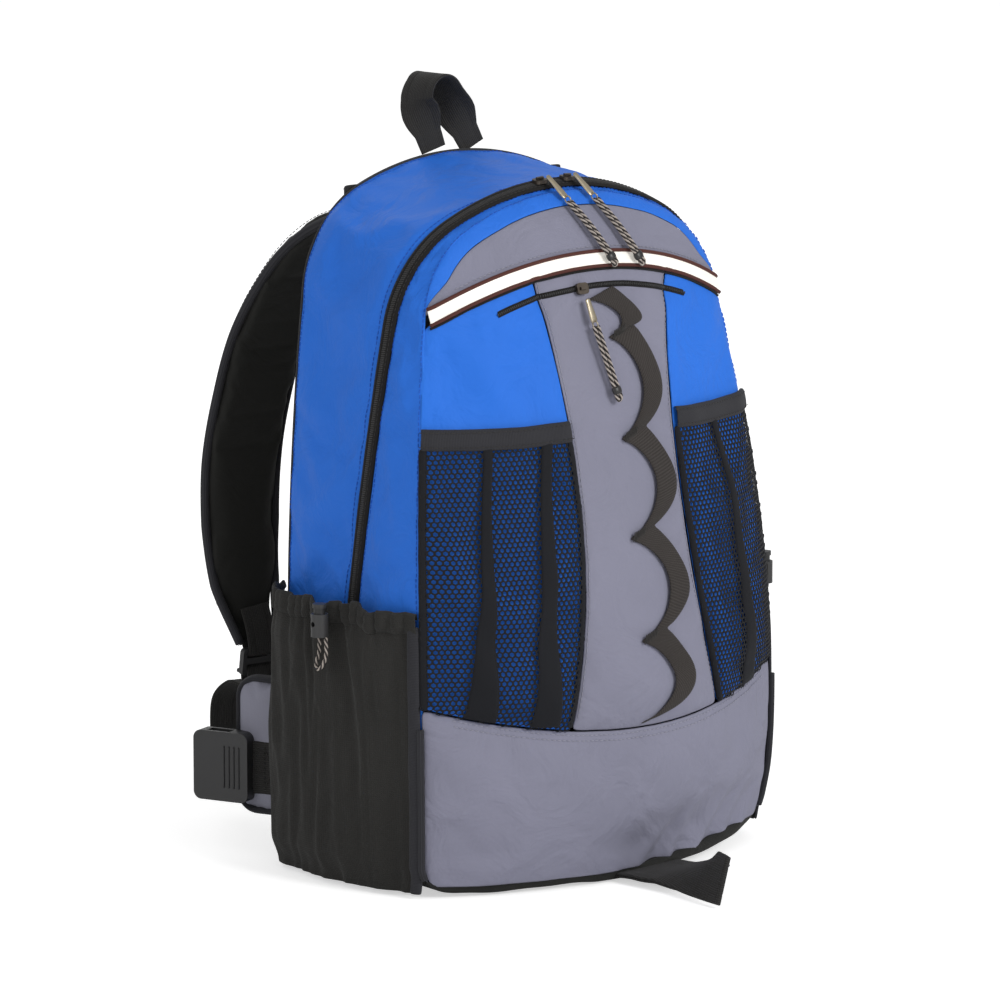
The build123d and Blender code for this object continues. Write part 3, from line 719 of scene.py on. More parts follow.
BLUE = cloth("blue_ripstop", linear(40, 116, 226), pitch=0.55, depth=0.07, sheen=0.03, roughness=0.6,
             vary=0.10, wrinkle=5.0)
GREY = cloth("grey_oxford", linear(136, 136, 154), pitch=0.85, depth=0.12, sheen=0.05, roughness=0.75,
             vary=0.10, wrinkle=5.0)
BLACK = cloth("black_cloth", linear(40, 40, 38), pitch=0.9, depth=0.14, sheen=0.06, roughness=0.85,
              vary=0.18, wrinkle=3.0)
STRETCH = cloth("black_stretch", linear(33, 33, 32), pitch=1.5, depth=0.3, sheen=0.06, roughness=0.9,
                vary=0.3, tint=linear(60, 59, 57), wrinkle=4.0, speckle=0.5)
KNIT = cloth("mesh_knit", linear(24, 25, 30), pitch=0.6, depth=0.1, sheen=0.05, roughness=0.8, vary=0.2)
SPACER = cloth("spacer_mesh", linear(56, 57, 60), pitch=2.4, depth=0.5, sheen=0.06, roughness=0.9, vary=0.2,
               grain="object")
FIN_GREY = cloth("fin_grey", linear(138, 138, 152), pitch=0.9, depth=0.12, sheen=0.05, roughness=0.75,
                 vary=0.06, grain="object")
LINING = cloth("lining", linear(92, 95, 104), pitch=0.5, depth=0.05, sheen=0.03, roughness=0.55, vary=0.06)
TAPE = cloth("zip_tape", linear(27, 26, 26), pitch=0.8, depth=0.1, sheen=0.05, roughness=0.8, vary=0.15)
WEBBING = ribbed("black_webbing", linear(36, 35, 34), roughness=0.8)
CHAIN_WEB = ribbed("chain_webbing", linear(46, 42, 40), rib=2.2, depth=0.22, roughness=0.8)
PIPING = cloth("dark_piping", linear(84, 46, 40), pitch=0.7, depth=0.1, sheen=0.05, roughness=0.7, vary=0.1)
BINDING = ribbed("binding_tape", linear(38, 38, 42), rib=1.1, depth=0.12, roughness=0.8)
THREAD_BLUE = cloth("thread_blue", linear(32, 88, 186), pitch=0.4, depth=0.05, sheen=0.05, grain="object")
THREAD_GREY = cloth("thread_grey", linear(146, 146, 160), pitch=0.4, depth=0.05, sheen=0.05, grain="object")
THREAD_BLACK = cloth("thread_black", linear(52, 50, 49), pitch=0.4, depth=0.05, sheen=0.05, grain="object")
PLASTIC = moulded("moulded_black", linear(30, 30, 31))
COIL = moulded("zip_coil", linear(26, 25, 25), roughness=0.35)
SHEET = moulded("frame_sheet", linear(205, 208, 212), roughness=0.5)
SLIDER = metal("slider_metal", linear(96, 88, 80))
TAB = metal("tab_metal", linear(196, 184, 160), roughness=0.3)
REFLECTIVE = reflective_tape("reflective_tape")
CORD_LIGHT = cloth("cord_light", linear(176, 166, 158), pitch=0.5, depth=0.12, sheen=0.05, grain="object")
CORD_DARK = cloth("cord_dark", linear(52, 48, 47), pitch=0.5, depth=0.12, sheen=0.05, grain="object")


# ---- cloth simulation ----------------------------------------------------------------------
settling = []       # (object, furthest move in mm)
FOAM_PRESSURE = 3.0
LAST_FRAME = 20


def cloth_modifier(obj, mass, stretch, shear, bend, gravity, pressure):
    """Adds the cloth run's modifier and returns its settings."""
    modifier = obj.modifiers.new("settle", "CLOTH")
    modifier.collision_settings.use_collision = False
    s = modifier.settings
    s.quality = 5
    s.mass = mass
    s.tension_stiffness = stretch
    s.compression_stiffness = stretch
    s.shear_stiffness = shear
    s.bending_stiffness = bend
    s.effector_weights.gravity = gravity
    s.use_pressure = True
    s.uniform_pressure_force = pressure
    return s


def will_settle(obj, pinned, slack, pressure, reach):
    """Marks a sheet for the shared cloth run: pinned is one weight per vertex."""
    group = obj.vertex_groups.new(name="pin")
    for weight in sorted(set(np.round(pinned, 2))):
        if weight > 0:
            members = [int(i) for i in np.nonzero(np.round(pinned, 2) == weight)[0]]
            group.add(members, float(weight), "REPLACE")
    s = cloth_modifier(obj, mass=0.25, stretch=18, shear=8, bend=0.35, gravity=0.25, pressure=pressure)
    obj.modifiers.move(obj.modifiers.find("settle"), 0)
    s.shrink_min = -slack
    s.shrink_max = -slack
    s.vertex_group_mass = "pin"
    s.pin_stiffness = 1.0
    settling.append((obj, reach))


def padded(name, node, voxel, reach, material):
    """A padded piece: the CAD node's solid, remeshed evenly and blown up as sewn foam."""
    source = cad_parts[node]
    obj = bpy.data.objects.new(name, source.data.copy())
    obj.data.name = name
    bpy.context.scene.collection.objects.link(obj)
    remesh = obj.modifiers.new("even", "REMESH")
    remesh.mode = "VOXEL"
    remesh.voxel_size = voxel * MM
    remesh.use_smooth_shade = True
    graph = bpy.context.evaluated_depsgraph_get()
    mesh = bpy.data.meshes.new_from_object(obj.evaluated_get(graph))
    obj.modifiers.clear()
    obj.data = mesh
    mesh.materials.clear()
    mesh.materials.append(material)
    cloth_modifier(obj, mass=0.3, stretch=15, shear=5, bend=0.5, gravity=0.0, pressure=FOAM_PRESSURE)
    settling.append((obj, reach))
    rounded_off(obj, 1)
    return obj


def run_cloth():
    """Runs every marked piece once and keeps the result, held within its reach of the start."""
    if not settling:
        return
    scene = bpy.context.scene
    scene.frame_start, scene.frame_end = 1, LAST_FRAME
    later = {}
    for obj, _ in settling:
        for modifier in obj.modifiers:
            if modifier.type != "CLOTH":
                modifier.show_viewport = False
        cache = obj.modifiers["settle"].point_cache
        cache.frame_start, cache.frame_end = 1, LAST_FRAME
    for f in range(1, LAST_FRAME + 1):
        scene.frame_set(f)
    graph = bpy.context.evaluated_depsgraph_get()
    for obj, _ in settling:
        later[obj.name] = mesh_points(obj.evaluated_get(graph).data)
    for obj, reach in settling:
        rest = mesh_points(obj.data)
        move = later[obj.name] - rest
        size = np.linalg.norm(move, axis=1, keepdims=True)
        limit = reach * MM
        held = limit * np.tanh(size / limit)
        move = move * np.where(size > 1e-9, held / np.where(size > 1e-9, size, 1), 1)
        obj.modifiers.remove(obj.modifiers["settle"])
        move_points(obj.data, rest + move)
        for modifier in obj.modifiers:
            modifier.show_viewport = True
    scene.frame_set(1)


def rim_pins(rows, columns):
    """Full pins on a grid's edge, half pins one row in."""
    weight = np.zeros((rows, columns))
    weight[1, :] = weight[-2, :] = 0.3
    weight[:, 1] = weight[:, -2] = 0.3
    weight[:, 0] = weight[:, -1] = 1
    weight[0, :] = weight[-1, :] = 1
    return weight.ravel()


def bend_with_front(obj, *nodes):
    """A piece with its placement baked into its mesh, and the CAD nodes it stands for hidden."""
    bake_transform(obj)
    if nodes:
        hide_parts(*nodes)
    return obj


def side_x(o, z):
    """Half width of outline o, with its rounded lower corners."""
    z = np.asarray(z, float)
    foot = leg_x(o, CORNER_R)
    drop = np.clip(CORNER_R - z, 0, CORNER_R)
    corner = foot - CORNER_R + np.sqrt(CORNER_R ** 2 - drop ** 2)
    return np.where(z < CORNER_R, corner, leg_x(o, z))


def face_side(z):
    return np.where(z < CORNER_R, side_x(FRONT, z), half_width(z))


FACE_FOOT = 8.0
PANELS = {
    "centre": (centre_left, centre_right, lower_z, lambda x: stripe_z(x, -4.0), 20, 46),
    "left": (lambda z: -face_side(z), centre_left, lower_z, lambda x: stripe_z(x, -4.0), 15, 42),
    "right": (centre_right, face_side, lower_z, lambda x: stripe_z(x, -4.0), 12, 42),
    "lower": (lambda z: -face_side(z), face_side, lambda x: FACE_FOOT + 0 * x, lower_z, 46, 17),
}


def patch_xz(left, right, bottom, top, columns, rows):
    """(x, z) of a grid between four curves, solved so that every edge lies on its curve."""
    u, v = np.meshgrid(np.linspace(0, 1, columns), np.linspace(0, 1, rows))
    z = np.full_like(u, 240.0) * v + 60.0 * (1 - v)
    for _ in range(25):
        x = left(z) * (1 - u) + right(z) * u
        z = bottom(x) * (1 - v) + top(x) * v
    return x, z


def face_panel(name, key, material):
    x, z = patch_xz(*PANELS[key])
    points = on_face(x, z)
    obj = cloth_grid(name, points, material)
    lined(obj)
    will_settle(obj, rim_pins(*x.shape), 0.012, 0.5, 3.0)
    return obj


def lined(obj):
    """Gives a sheet its lining on the inside."""
    obj.data.materials.append(LINING)
    solid = obj.modifiers["thickness"]
    solid.offset = -1.0
    solid.material_offset = 1
    solid.material_offset_rim = 0


def cap_grid():
    """The panel above the stripe, from the stripe to the front seam over the top, and its border."""
    rows, columns = 12, 44
    low, high = 1.0, 3.0
    for _ in range(40):
        q = (low + high) / 2
        point = rail_front(q)
        if point[2] > stripe_z(point[0], 2.0):
            low = q
        else:
            high = q
    q = np.linspace(-low, low, columns)
    seam = np.array([rail_front(k)[[0, 2]] for k in q])
    inward = unit(np.array([0.0, 300.0]) - seam)
    inset = CAP_INSET * smooth((low - np.abs(q)) / 0.5)[:, None]
    top = seam + inward * inset
    reach = abs(top[0, 0])
    x = np.linspace(-1, 1, columns) * reach
    bottom = np.stack([x, stripe_z(x, 2.0)], axis=1)
    v = np.linspace(0, 1, rows)[:, None, None]
    border = top[None] * (1 - v[:4] * 11 / 3) + seam[None] * v[:4] * 11 / 3
    return bottom[None] * (1 - v) + top[None] * v, border


face = {key: face_panel(f"{key}_panel_cloth", key, BLUE if key in ("left", "right") else GREY)
        for key in PANELS}
cap_xz, border_xz = cap_grid()
cap = cloth_grid("cap_panel_cloth", on_face(cap_xz[..., 0], cap_xz[..., 1]), GREY)
lined(cap)
cap_border = cloth_grid("cap_border_cloth", on_face(border_xz[..., 0], border_xz[..., 1], 0.15), BLUE)
lined(cap_border)
will_settle(cap, rim_pins(*cap_xz.shape[:2]), 0.010, 0.5, 3.5)


# ---- gussets -------------------------------------------------------------------------------
STRIP_STEP = 6.5        # spacing of the gussets' grid points
STRIP_MIDDLE = np.array([0.0, 0.0, 230.0])
SIDE_FOOT = BASE_TOP


def rail_point(rail, o, q, lean=0.0):
    """A rail's point at q, going on down the leg and round the lower corner to the base."""
    if abs(q) <= 2:
        return rail(q)
    _, shoulder, slope, _ = arch(o)
    top = shoulder[1] + o[6] * sin(slope)
    s = top + (SIDE_FOOT - top) * (abs(q) - 2)
    x = float(side_x(o, s)) * np.sign(q)
    z = s * cos(lean)
    if o is BACK:
        return np.array([x, BACK_Y, z])
    if o is ZIP:
        return np.array([x, ZIP_Y0 - s * sin(lean), z])
    return np.array([x, float(face_y(x, z)), z])


def back_at(q):
    return rail_point(rail_back, BACK, q)


def zip_at(q):
    return rail_point(rail_zip, ZIP, q, ZIP_LEAN)


def front_at(q):
    return rail_point(rail_front, FRONT, q, FRONT_LEAN)


def even_q(at, step, low=-3.0, high=3.0):
    """Values of q that are evenly spaced along a rail."""
    q = np.linspace(low, high, 1200)
    points = np.array([at(k) for k in q])
    length = lengths(points)
    count = int(length[-1] / step)
    return np.interp(np.linspace(0, length[-1], count), length, q)


def strip_points(q, near, far, rows, bulge, seed):
    """A sheet between two rails, full in the middle and softly wrinkled."""
    a = np.array([near(k) for k in q])
    b = np.array([far(k) for k in q])
    t = np.linspace(0, 1, rows)[:, None, None]
    points = a[None] * (1 - t) + b[None] * t
    outward = points - STRIP_MIDDLE
    outward[..., 1] = 0
    normal = grid_normals(points, outward)
    s = np.linspace(0, 1, rows)[:, None]
    edge = np.minimum(s, 1 - s) * np.linalg.norm(b - a, axis=1)[None]
    fullness = bulge * (1 - np.exp(-edge / 16)) - 0.9 * np.exp(-(edge / 2.6) ** 2)
    wrinkle = 0.9 * waves(points, 70, seed) + 0.5 * creases(points * [1, 1.3, 0.7], 30, seed + 1)
    return points + normal * (fullness + wrinkle * (1 - np.exp(-edge / 12)))[..., None]


TAPE_HALF = 5.8
q_strip = even_q(zip_at, STRIP_STEP)


def beside_zip(offset):
    """A rail that runs beside the zip's plane, offset towards the front when positive."""
    def at(q):
        middle = zip_at(q)
        target = front_at(q) if offset > 0 else back_at(q)
        span = target - middle
        return middle + span * (abs(offset) / np.linalg.norm(span))
    return at


front_strip = strip_points(q_strip, beside_zip(TAPE_HALF), front_at, 10, bulge=2.6, seed=11)
rear_strip = strip_points(q_strip, beside_zip(-TAPE_HALF), back_at, 14, bulge=3.4, seed=21)
edge_points = on_face(front_strip[-1, :, 0], front_strip[-1, :, 2])
front_strip[-1] = np.where(edge_points[:, 2:] > 0, edge_points, front_strip[-1])
gusset_front = cloth_grid("gusset_front_cloth", front_strip, BLUE)
gusset_rear = cloth_grid("gusset_rear_cloth", rear_strip, BLUE)
lined(gusset_front)
lined(gusset_rear)
will_settle(gusset_front, rim_pins(*front_strip.shape[:2]), 0.02, 0.8, 5.0)
will_settle(gusset_rear, rim_pins(*rear_strip.shape[:2]), 0.025, 1.0, 6.0)

# the zip ends where the front folds: below, the same strips carry on as plain cloth
q_closed = 2 + (zip_at(2)[2] - OPEN_Z) / (zip_at(2)[2] - zip_at(3)[2])


def below_zip(side):
    """Cloth that fills the zip's width below its end, on one side."""
    q = side * np.linspace(q_closed, 3.0, 26)
    near = beside_zip(-TAPE_HALF)
    far = beside_zip(TAPE_HALF)
    a = np.array([near(k) for k in q])
    b = np.array([far(k) for k in q])
    t = np.linspace(0, 1, 6)[:, None, None]
    points = a[None] * (1 - t) + b[None] * t
    s = np.linspace(-1, 1, 6)[:, None]
    points[..., 0] += side * 0.8 * (1 - s ** 2)
    groove = -0.9 * (s ** 2)
    points[..., 0] += side * groove
    return points


side_fill = [cloth_grid(f"side_seam_{name}", below_zip(side), BLUE) for name, side in SIDES]
for piece in side_fill:
    lined(piece)


# ---- main zip ------------------------------------------------------------------------------
def along_zip(offset, lift, step):
    """Points beside the main zip's line, lifted outwards; also their outward normals."""
    q = even_q(zip_at, step, -q_closed, q_closed)
    middle = np.array([zip_at(k) for k in q])
    front = np.array([beside_zip(5.0)(k) for k in q])
    rear = np.array([beside_zip(-5.0)(k) for k in q])
    across = unit(front - rear)
    normal = unit(np.cross(across, np.gradient(middle, axis=0)))
    normal = normal * np.sign((normal * (middle - [0, middle[0, 1], 240])).sum(1)).reshape(-1, 1)
    return middle + across * offset + normal * lift, normal, across


def zip_half(name, sign):
    """One half of the main zip: woven tape, its coil's teeth and a stitch row on the tape."""
    rows = [(0.2, -0.6), (1.0, -0.3), (2.2, 0.4), (3.6, 0.4), (5.0, -0.1), (TAPE_HALF + 0.5, -1.0)]
    points = np.stack([along_zip(sign * o, l, 5.0)[0] for o, l in rows])
    tape = cloth_grid(f"{name}_tape", points, TAPE, thickness=0.8)
    centre, normal, across = along_zip(sign * 0.75, 0.5, 1.5)
    coil = stamp(f"{name}_coil", capsule(), centre, across + 0.12 * np.gradient(centre, axis=0), normal,
                 (1.15, 0.5, 0.62), COIL)
    line, facing, _ = along_zip(sign * 3.9, 0.8, 2.0)
    seam = stitches(f"{name}_seam", line, facing, THREAD_BLACK, length=2.4, radius=0.26)
    return [tape, coil, seam]


zip_front_parts = zip_half("zip_front", 1)
zip_rear_parts = zip_half("zip_rear", -1)


# ---- base ----------------------------------------------------------------------------------
def base_section(o):
    """(x, z) round the bottom of outline o from one side seam to the other."""
    flat = leg_x(o, CORNER_R) - CORNER_R
    start = acos((CORNER_R - SIDE_FOOT) / CORNER_R)
    corner = [(flat + CORNER_R * sin(angle), CORNER_R - CORNER_R * cos(angle))
              for angle in np.linspace(0, start, 11)]
    bottom = [(x, 0.0) for x in np.linspace(-flat, flat, 41)[1:-1]]
    return np.array([(-x, z) for x, z in reversed(corner)] + bottom + corner)


def zip_plane_y(xz):
    return ZIP_Y0 - xz[:, 1] * sin(ZIP_LEAN)


def base_points():
    """The base from the back seam to the front seam, turned up a little at its front edge."""
    back, middle, front = (base_section(o) for o in (BACK, ZIP, FRONT))
    rows = []
    for t in np.linspace(0, 1, 9):
        xz = back * (1 - t) + middle * t
        y = BACK_Y * (1 - t) + zip_plane_y(xz) * t
        rows.append(np.column_stack([xz[:, 0], y, xz[:, 1]]))
    for t in np.linspace(0, 1, 22)[1:]:
        xz = middle * (1 - t) + front * t
        y = zip_plane_y(xz) * (1 - t) + face_y(xz[:, 0], xz[:, 1]) * t
        rows.append(np.column_stack([xz[:, 0], y, xz[:, 1]]))
    for t in (0.35, 0.7, 1.0):
        z = front[:, 1] + (np.maximum(front[:, 1], FACE_FOOT + 0.6) - front[:, 1]) * t
        rows.append(np.column_stack([front[:, 0], face_y(front[:, 0], z), z]))
    points = np.array(rows)
    points[-1] = on_face(points[-1, :, 0], points[-1, :, 2])
    sag = 1.2 * waves(points[..., :2], 60, 41) + 1.2
    flat = np.clip(1 - points[..., 2] / 6, 0, 1)
    points[..., 2] += 0.8 + np.clip(sag, 0, 2.2) * flat
    return points


base_grid = base_points()
base = cloth_grid("base_cloth", base_grid, BLACK, thickness=1.6)
lined(base)


# ---- back panel and padding ----------------------------------------------------------------
BACK_MIDDLE = np.array([0.0, 230.0])
BACK_SCALE = np.linspace(0.02, 1, 26)      # the rings' sizes, as shares of the back seam


def back_grid():
    """The back panel inside the back seam, in rings about its middle."""
    q = np.linspace(-3, 3, 161)
    ring = np.array([back_at(k)[[0, 2]] for k in q])
    foot = base_section(BACK)[::-1]
    ring = np.vstack([ring, foot[1:-1]])
    return BACK_MIDDLE + (ring[None] - BACK_MIDDLE) * BACK_SCALE[:, None, None]


back_xz = back_grid()
edge = (1 - BACK_SCALE)[:, None] * 150
soft = 0.8 * waves(back_xz, 70, 51) * (1 - np.exp(-edge / 12))
back_y = BACK_Y + 1.2 - 2.2 * np.exp(-(edge / 5) ** 2) + soft
rows, columns = back_xz.shape[:2]
inside = grid_faces(rows, columns, closed=True) + [tuple(range(columns))[::-1]]
outside = [f[::-1] for f in inside]


def back_sheet(name, xz, y, faces, material):
    """One sheet of the back panel, with its cloth coordinates in the panel's plane."""
    points = np.stack([xz[..., 0], y, xz[..., 1]], axis=-1).reshape(-1, 3)
    obj = new_object(name, points, faces, back_xz.reshape(-1, 2))
    obj.data.materials.append(material)
    return obj


back = back_sheet("back_panel_cloth", back_xz, back_y, outside, SPACER)
thicken(back, 1.4)
back_lining = back_sheet("back_lining", BACK_MIDDLE + (back_xz - BACK_MIDDLE) * 0.975,
                         68.5 + 0.5 * waves(back_xz, 90, 52), inside, LINING)
back_lining.modifiers.new("thickness", "SOLIDIFY").thickness = 0.9 * MM

back_pads = padded("back_pads_foam", "back_pads", 5.0, 5.0, SPACER)
lumbar = padded("lumbar_foam", "lumbar_pad", 5.0, 5.0, SPACER)
straps = {side: padded(f"strap_{side}_foam", f"shoulder_strap_{side}", 5.0, 4.0, BLACK)
          for side in ("left", "right")}
fins = {side: padded(f"fin_{side}_foam", f"hip_fin_{side}", 4.0, 4.0, FIN_GREY)
        for side in ("left", "right")}

run_cloth()


def lift_corner(obj):
    """The loaded pack rocks back on its base: its lower right front edge stands off the floor."""
    p = mesh_points(obj.data) / MM
    share = smooth((p[:, 0] - 10) / 150) * smooth((90 - p[:, 2]) / 80) * smooth((-p[:, 1] - 5) / 95)
    p[:, 2] += CORNER_LIFT * share
    p[:, 0] -= 5.0 * smooth((p[:, 0] - 110) / 40) * smooth((60 - p[:, 2]) / 60) * smooth((-p[:, 1] - 5) / 95)
    move_points(obj.data, p * MM)


for piece in (face["lower"], gusset_front, base, *side_fill):
    lift_corner(piece)
remember_cloth(list(face.values()) + [cap, cap_border])


def finished_rows(obj, rows):
    """The grid of points of a finished cloth strip."""
    return mesh_points(obj.data).reshape(rows, -1, 3) / MM


front_strip = finished_rows(gusset_front, front_strip.shape[0])
rear_strip = finished_rows(gusset_rear, rear_strip.shape[0])

for key in ("centre", "left", "right"):
    bend_with_front(face[key], f"{key}_panel_upper", f"{key}_panel_lower")
ride_on(face["lower"], "pack", "lower_panel")
ride_on(cap, "front", "cap_panel")
ride_on(cap_border, "front", "front_gusset")
bend_with_front(gusset_front, "front_gusset")
ride_on(gusset_rear, "pack", "rear_gusset", "lower_side_left", "lower_side_right")
for piece in side_fill:
    ride_on(piece, "pack")
for piece in zip_front_parts:
    bend_with_front(piece, "main_zip_front")
for piece in zip_rear_parts:
    ride_on(piece, "pack", "main_zip_rear")
for piece, node in ((base, "base_panel"), (back, "back_panel"), (back_lining, "back_panel"),
                    (back_pads, "back_pads"), (lumbar, "lumbar_pad")):
    ride_on(piece, "pack", node)
for side in ("left", "right"):
    ride_on(straps[side], f"strap_{side}", f"shoulder_strap_{side}")
    ride_on(fins[side], f"fin_{side}", f"hip_fin_{side}")


# ---- front face: seam stitching ------------------------------------------------------------
def face_path(x, z, lift=0.4):
    """Points and normals of a line on the front face."""
    points = on_cloth(x, z, lift)
    normals = on_face(x, z, 1.0) - on_face(x, z, 0.0)
    return points, unit(normals)


def z_between(low, high, step=4.0):
    return np.linspace(low, high, max(4, int(abs(high - low) / step)))


def panel_stitching():
    """Top stitching beside the seams of the front face, by the body it follows."""
    bending, upper, lower = [], [], []
    for edge, offset in ((centre_left, -2.6), (centre_right, 2.6)):
        z = z_between(124, 418)
        x = edge(z) + offset * -1
        bending.append(stitches("stitch", *face_path(x, z), THREAD_GREY))
    x = np.linspace(-138, 138, 90)
    lower.append(stitches("stitch", *face_path(x, lower_z(x) - 2.8), THREAD_GREY))
    lower.append(stitches("stitch", *face_path(x, lower_z(x) - 6.6), THREAD_GREY))
    x = np.linspace(-108, 108, 80)
    upper.append(stitches("stitch", *face_path(x, stripe_z(x, 8.6)), THREAD_GREY))
    return bending, upper, lower


bending, upper, lower = panel_stitching()
bend_with_front(join("centre_seam_stitches", bending))
ride_on(join("cap_seam_stitches", upper), "front")
ride_on(join("lower_seam_stitches", lower), "pack")


def gusset_stitches(name, grid):
    """Stitching beside both long seams of a gusset."""
    rows = []
    for label, index, edge in (("near", 1, 0), ("far", -2, -1)):
        line = grid[index] * 0.5 + grid[edge] * 0.5
        outward = unit((line - STRIP_MIDDLE) * [1, 0, 1])
        rows.append(stitches(f"{name}_{label}", line + outward * 0.25, outward, THREAD_BLUE))
    return join(f"{name}_gusset_stitches", rows)


bend_with_front(gusset_stitches("front", front_strip))
ride_on(gusset_stitches("rear", rear_strip), "pack")


# ---- stripe, its piping and the pocket zip -------------------------------------------------
STRIPE_HALF_X = 129.0


def face_band(name, offsets, lifts, material, half_x=STRIPE_HALF_X):
    """A band that follows the stripe's arc, with a height given across it."""
    x = np.linspace(-half_x, half_x, 90)
    rows = [on_cloth(x, stripe_z(x, offset), lift) for offset, lift in zip(offsets, lifts)]
    return cloth_grid(name, np.array(rows), material, thickness=0.7)


def face_cord(name, offset, lift, radius, material):
    """A cord that follows the stripe's arc."""
    x = np.linspace(-STRIPE_HALF_X, STRIPE_HALF_X, 120)
    return tube(name, on_cloth(x, stripe_z(x, offset), lift), radius, material)


half = STRIPE_W / 2
stripe = face_band("stripe_tape", (-half, -half + 0.6, -1.5, 1.5, half - 0.6, half),
                   (1.0, 2.3, 2.6, 2.6, 2.3, 1.0), REFLECTIVE)
piping = [face_cord("piping_low", -half - 0.6, 1.9, 1.35, PIPING),
          face_cord("piping_high", half + 0.6, 1.9, 1.35, PIPING)]
ride_on(stripe, "front", "reflective_stripe")
ride_on(join("stripe_piping", piping), "front", "reflective_stripe")
# Painted shadow: a thin dark cord just below the stripe's lower piping stands in for the shade the stripe
# casts.
shadow_under_stripe = face_cord("shadow_under_stripe", -half - 2.4, 0.7, 0.9, TAPE)
pocket_tape = face_band("pocket_tape", [POCKET_ZIP + across for across in (-2.0, -1.5, 0.0, 1.5, 2.0)],
                        (0.1, 0.55, 0.6, 0.55, 0.1), TAPE, half_x=POCKET_ZIP_HALF_X)
x = np.linspace(-POCKET_ZIP_HALF_X, POCKET_ZIP_HALF_X, 110)
centre, normal = face_path(x, stripe_z(x, POCKET_ZIP), 1.1)
tangent = np.gradient(centre, axis=0)
pocket_coil = stamp("pocket_coil", capsule(), centre, np.cross(normal, tangent), normal, (0.9, 0.5, 0.5),
                    COIL)
ride_on(join("pocket_zip", [pocket_tape, pocket_coil, shadow_under_stripe]), "front", "pocket_zip_tape")


# ---- mesh pockets --------------------------------------------------------------------------
HOLE_PITCH = 3.7
MESH_LIFT = 2.0
PLEATS = {               # heights, then x of each dart's left and right edge at those heights
    "left": (((309, 235, 124), (-107, -117, -133), (-101, -109, -113)),
             ((309, 232, 117), (-66, -77, -91), (-58, -67, -70))),
    "right": (((309, 235, 124), (92, 98, 104), (97, 105, 120)),),
}


def pocket_edges(side):
    if side == "left":
        return (lambda z: -face_side(z) + 0.5), (lambda z: centre_left(z) - 0.6)
    return (lambda z: centre_right(z) + 0.6), (lambda z: face_side(z) - 0.5)


def mesh_height(x, z):
    """How far the pocket's net stands off the panel: fuller in the middle of the pocket."""
    fall = np.clip((MESH_TOP - z) / 60, 0, 1) * np.clip((z - lower_z(x)) / 30, 0, 1)
    return MESH_LIFT + 2.2 * fall * smooth(seam_distance(x, z) / 30)


def lattice(name, side):
    """A knitted net with real holes: six-sided cells over the pocket, each with an open middle."""
    left, right = pocket_edges(side)
    low_x = -158.0 if side == "left" else 40.0
    high_x = -38.0 if side == "left" else 158.0
    vertices, faces = [], []
    row_step = HOLE_PITCH * sqrt(3) / 2
    top = MESH_TOP - BINDING_W + 1.0
    outer_r = HOLE_PITCH / sqrt(3)
    rows = int((top - 100) / row_step) + 1
    columns = int((high_x - low_x) / HOLE_PITCH) + 2
    for i in range(rows):
        z = 100 + i * row_step
        for j in range(columns):
            x = low_x + (j + 0.5 * (i % 2)) * HOLE_PITCH
            if not (left(z) + 1.2 < x < right(z) - 1.2 and lower_z(x) + 1.0 < z):
                continue
            start = len(vertices)
            for radius, squash in ((outer_r, 1.0), (outer_r * 0.70, 0.94)):
                for k in range(6):
                    angle = pi / 6 + k * pi / 3
                    vertices.append((x + radius * cos(angle) * squash, z + radius * sin(angle)))
            for k in range(6):
                n = (k + 1) % 6
                faces.append((start + k, start + n, start + 6 + n, start + 6 + k))
    flat = np.array(vertices)
    points = on_cloth(flat[:, 0], flat[:, 1], mesh_height(flat[:, 0], flat[:, 1]))
    obj = new_object(name, points, [f[::-1] for f in faces], flat)
    obj.data.materials.append(KNIT)
    weld = obj.modifiers.new("weld", "WELD")
    weld.merge_threshold = 0.05 * MM
    thicken(obj, 0.55)
    return obj


def pleat(name, heights, left_x, right_x):
    """A dart in the net: a fold that widens downwards, dark because the net lies double."""
    z = z_between(MESH_TOP - BINDING_W + 1, 118, 6)
    a = through(z, list(zip(heights, left_x)))
    b = through(z, list(zip(heights, right_x)))
    rows = []
    for t, lift in ((0.0, 0.0), (0.12, 1.1), (0.35, 1.6), (0.65, 1.9), (0.9, 2.3), (1.0, 0.6)):
        x = a * (1 - t) + b * t
        base_z = np.maximum(z, lower_z(x) + 1.0)
        rows.append(on_cloth(x, base_z, mesh_height(x, base_z) + lift * 0.8))
    return cloth_grid(name, np.array(rows), KNIT, thickness=0.7)


def net_hem(name, edge, inward):
    """The narrow turned edge of a net where it's sewn into a seam."""
    z = z_between(MESH_TOP - BINDING_W + 1, 116, 5)
    rows = []
    for offset, lift in ((-0.6, 0.2), (0.2, 1.8), (1.6, 2.3), (3.0, 2.2), (3.6, 1.2)):
        x = edge(z) + inward * offset
        zz = np.maximum(z, lower_z(x) + 0.6)
        rows.append(on_cloth(x, zz, lift))
    return cloth_grid(name, np.array(rows), KNIT, thickness=0.7)


for side in ("left", "right"):
    nodes = (f"{side}_mesh_upper", f"{side}_mesh_lower")
    bend_with_front(lattice(f"{side}_net", side), *nodes)
    folds = [pleat(f"{side}_pleat_{i}", *dart) for i, dart in enumerate(PLEATS[side])]
    left, right = pocket_edges(side)
    folds += [net_hem(f"{side}_hem_left", left, 1), net_hem(f"{side}_hem_right", right, -1)]
    bend_with_front(join(f"{side}_net_folds", folds), *nodes)



def along_binding(side, drop, lift):
    """A line along a net's top binding, which sags and stands off most in its middle."""
    left, right = pocket_edges(side)
    u = np.linspace(0, 1, 50)
    z = MESH_TOP - drop
    x = float(left(z)) + (float(right(z)) - float(left(z))) * u
    sway = 0.9 * np.sin(u * pi) * (1 if side == "left" else 0.7)
    return on_cloth(x, np.full(50, z) - 1.5 * np.sin(u * pi), lift + sway)


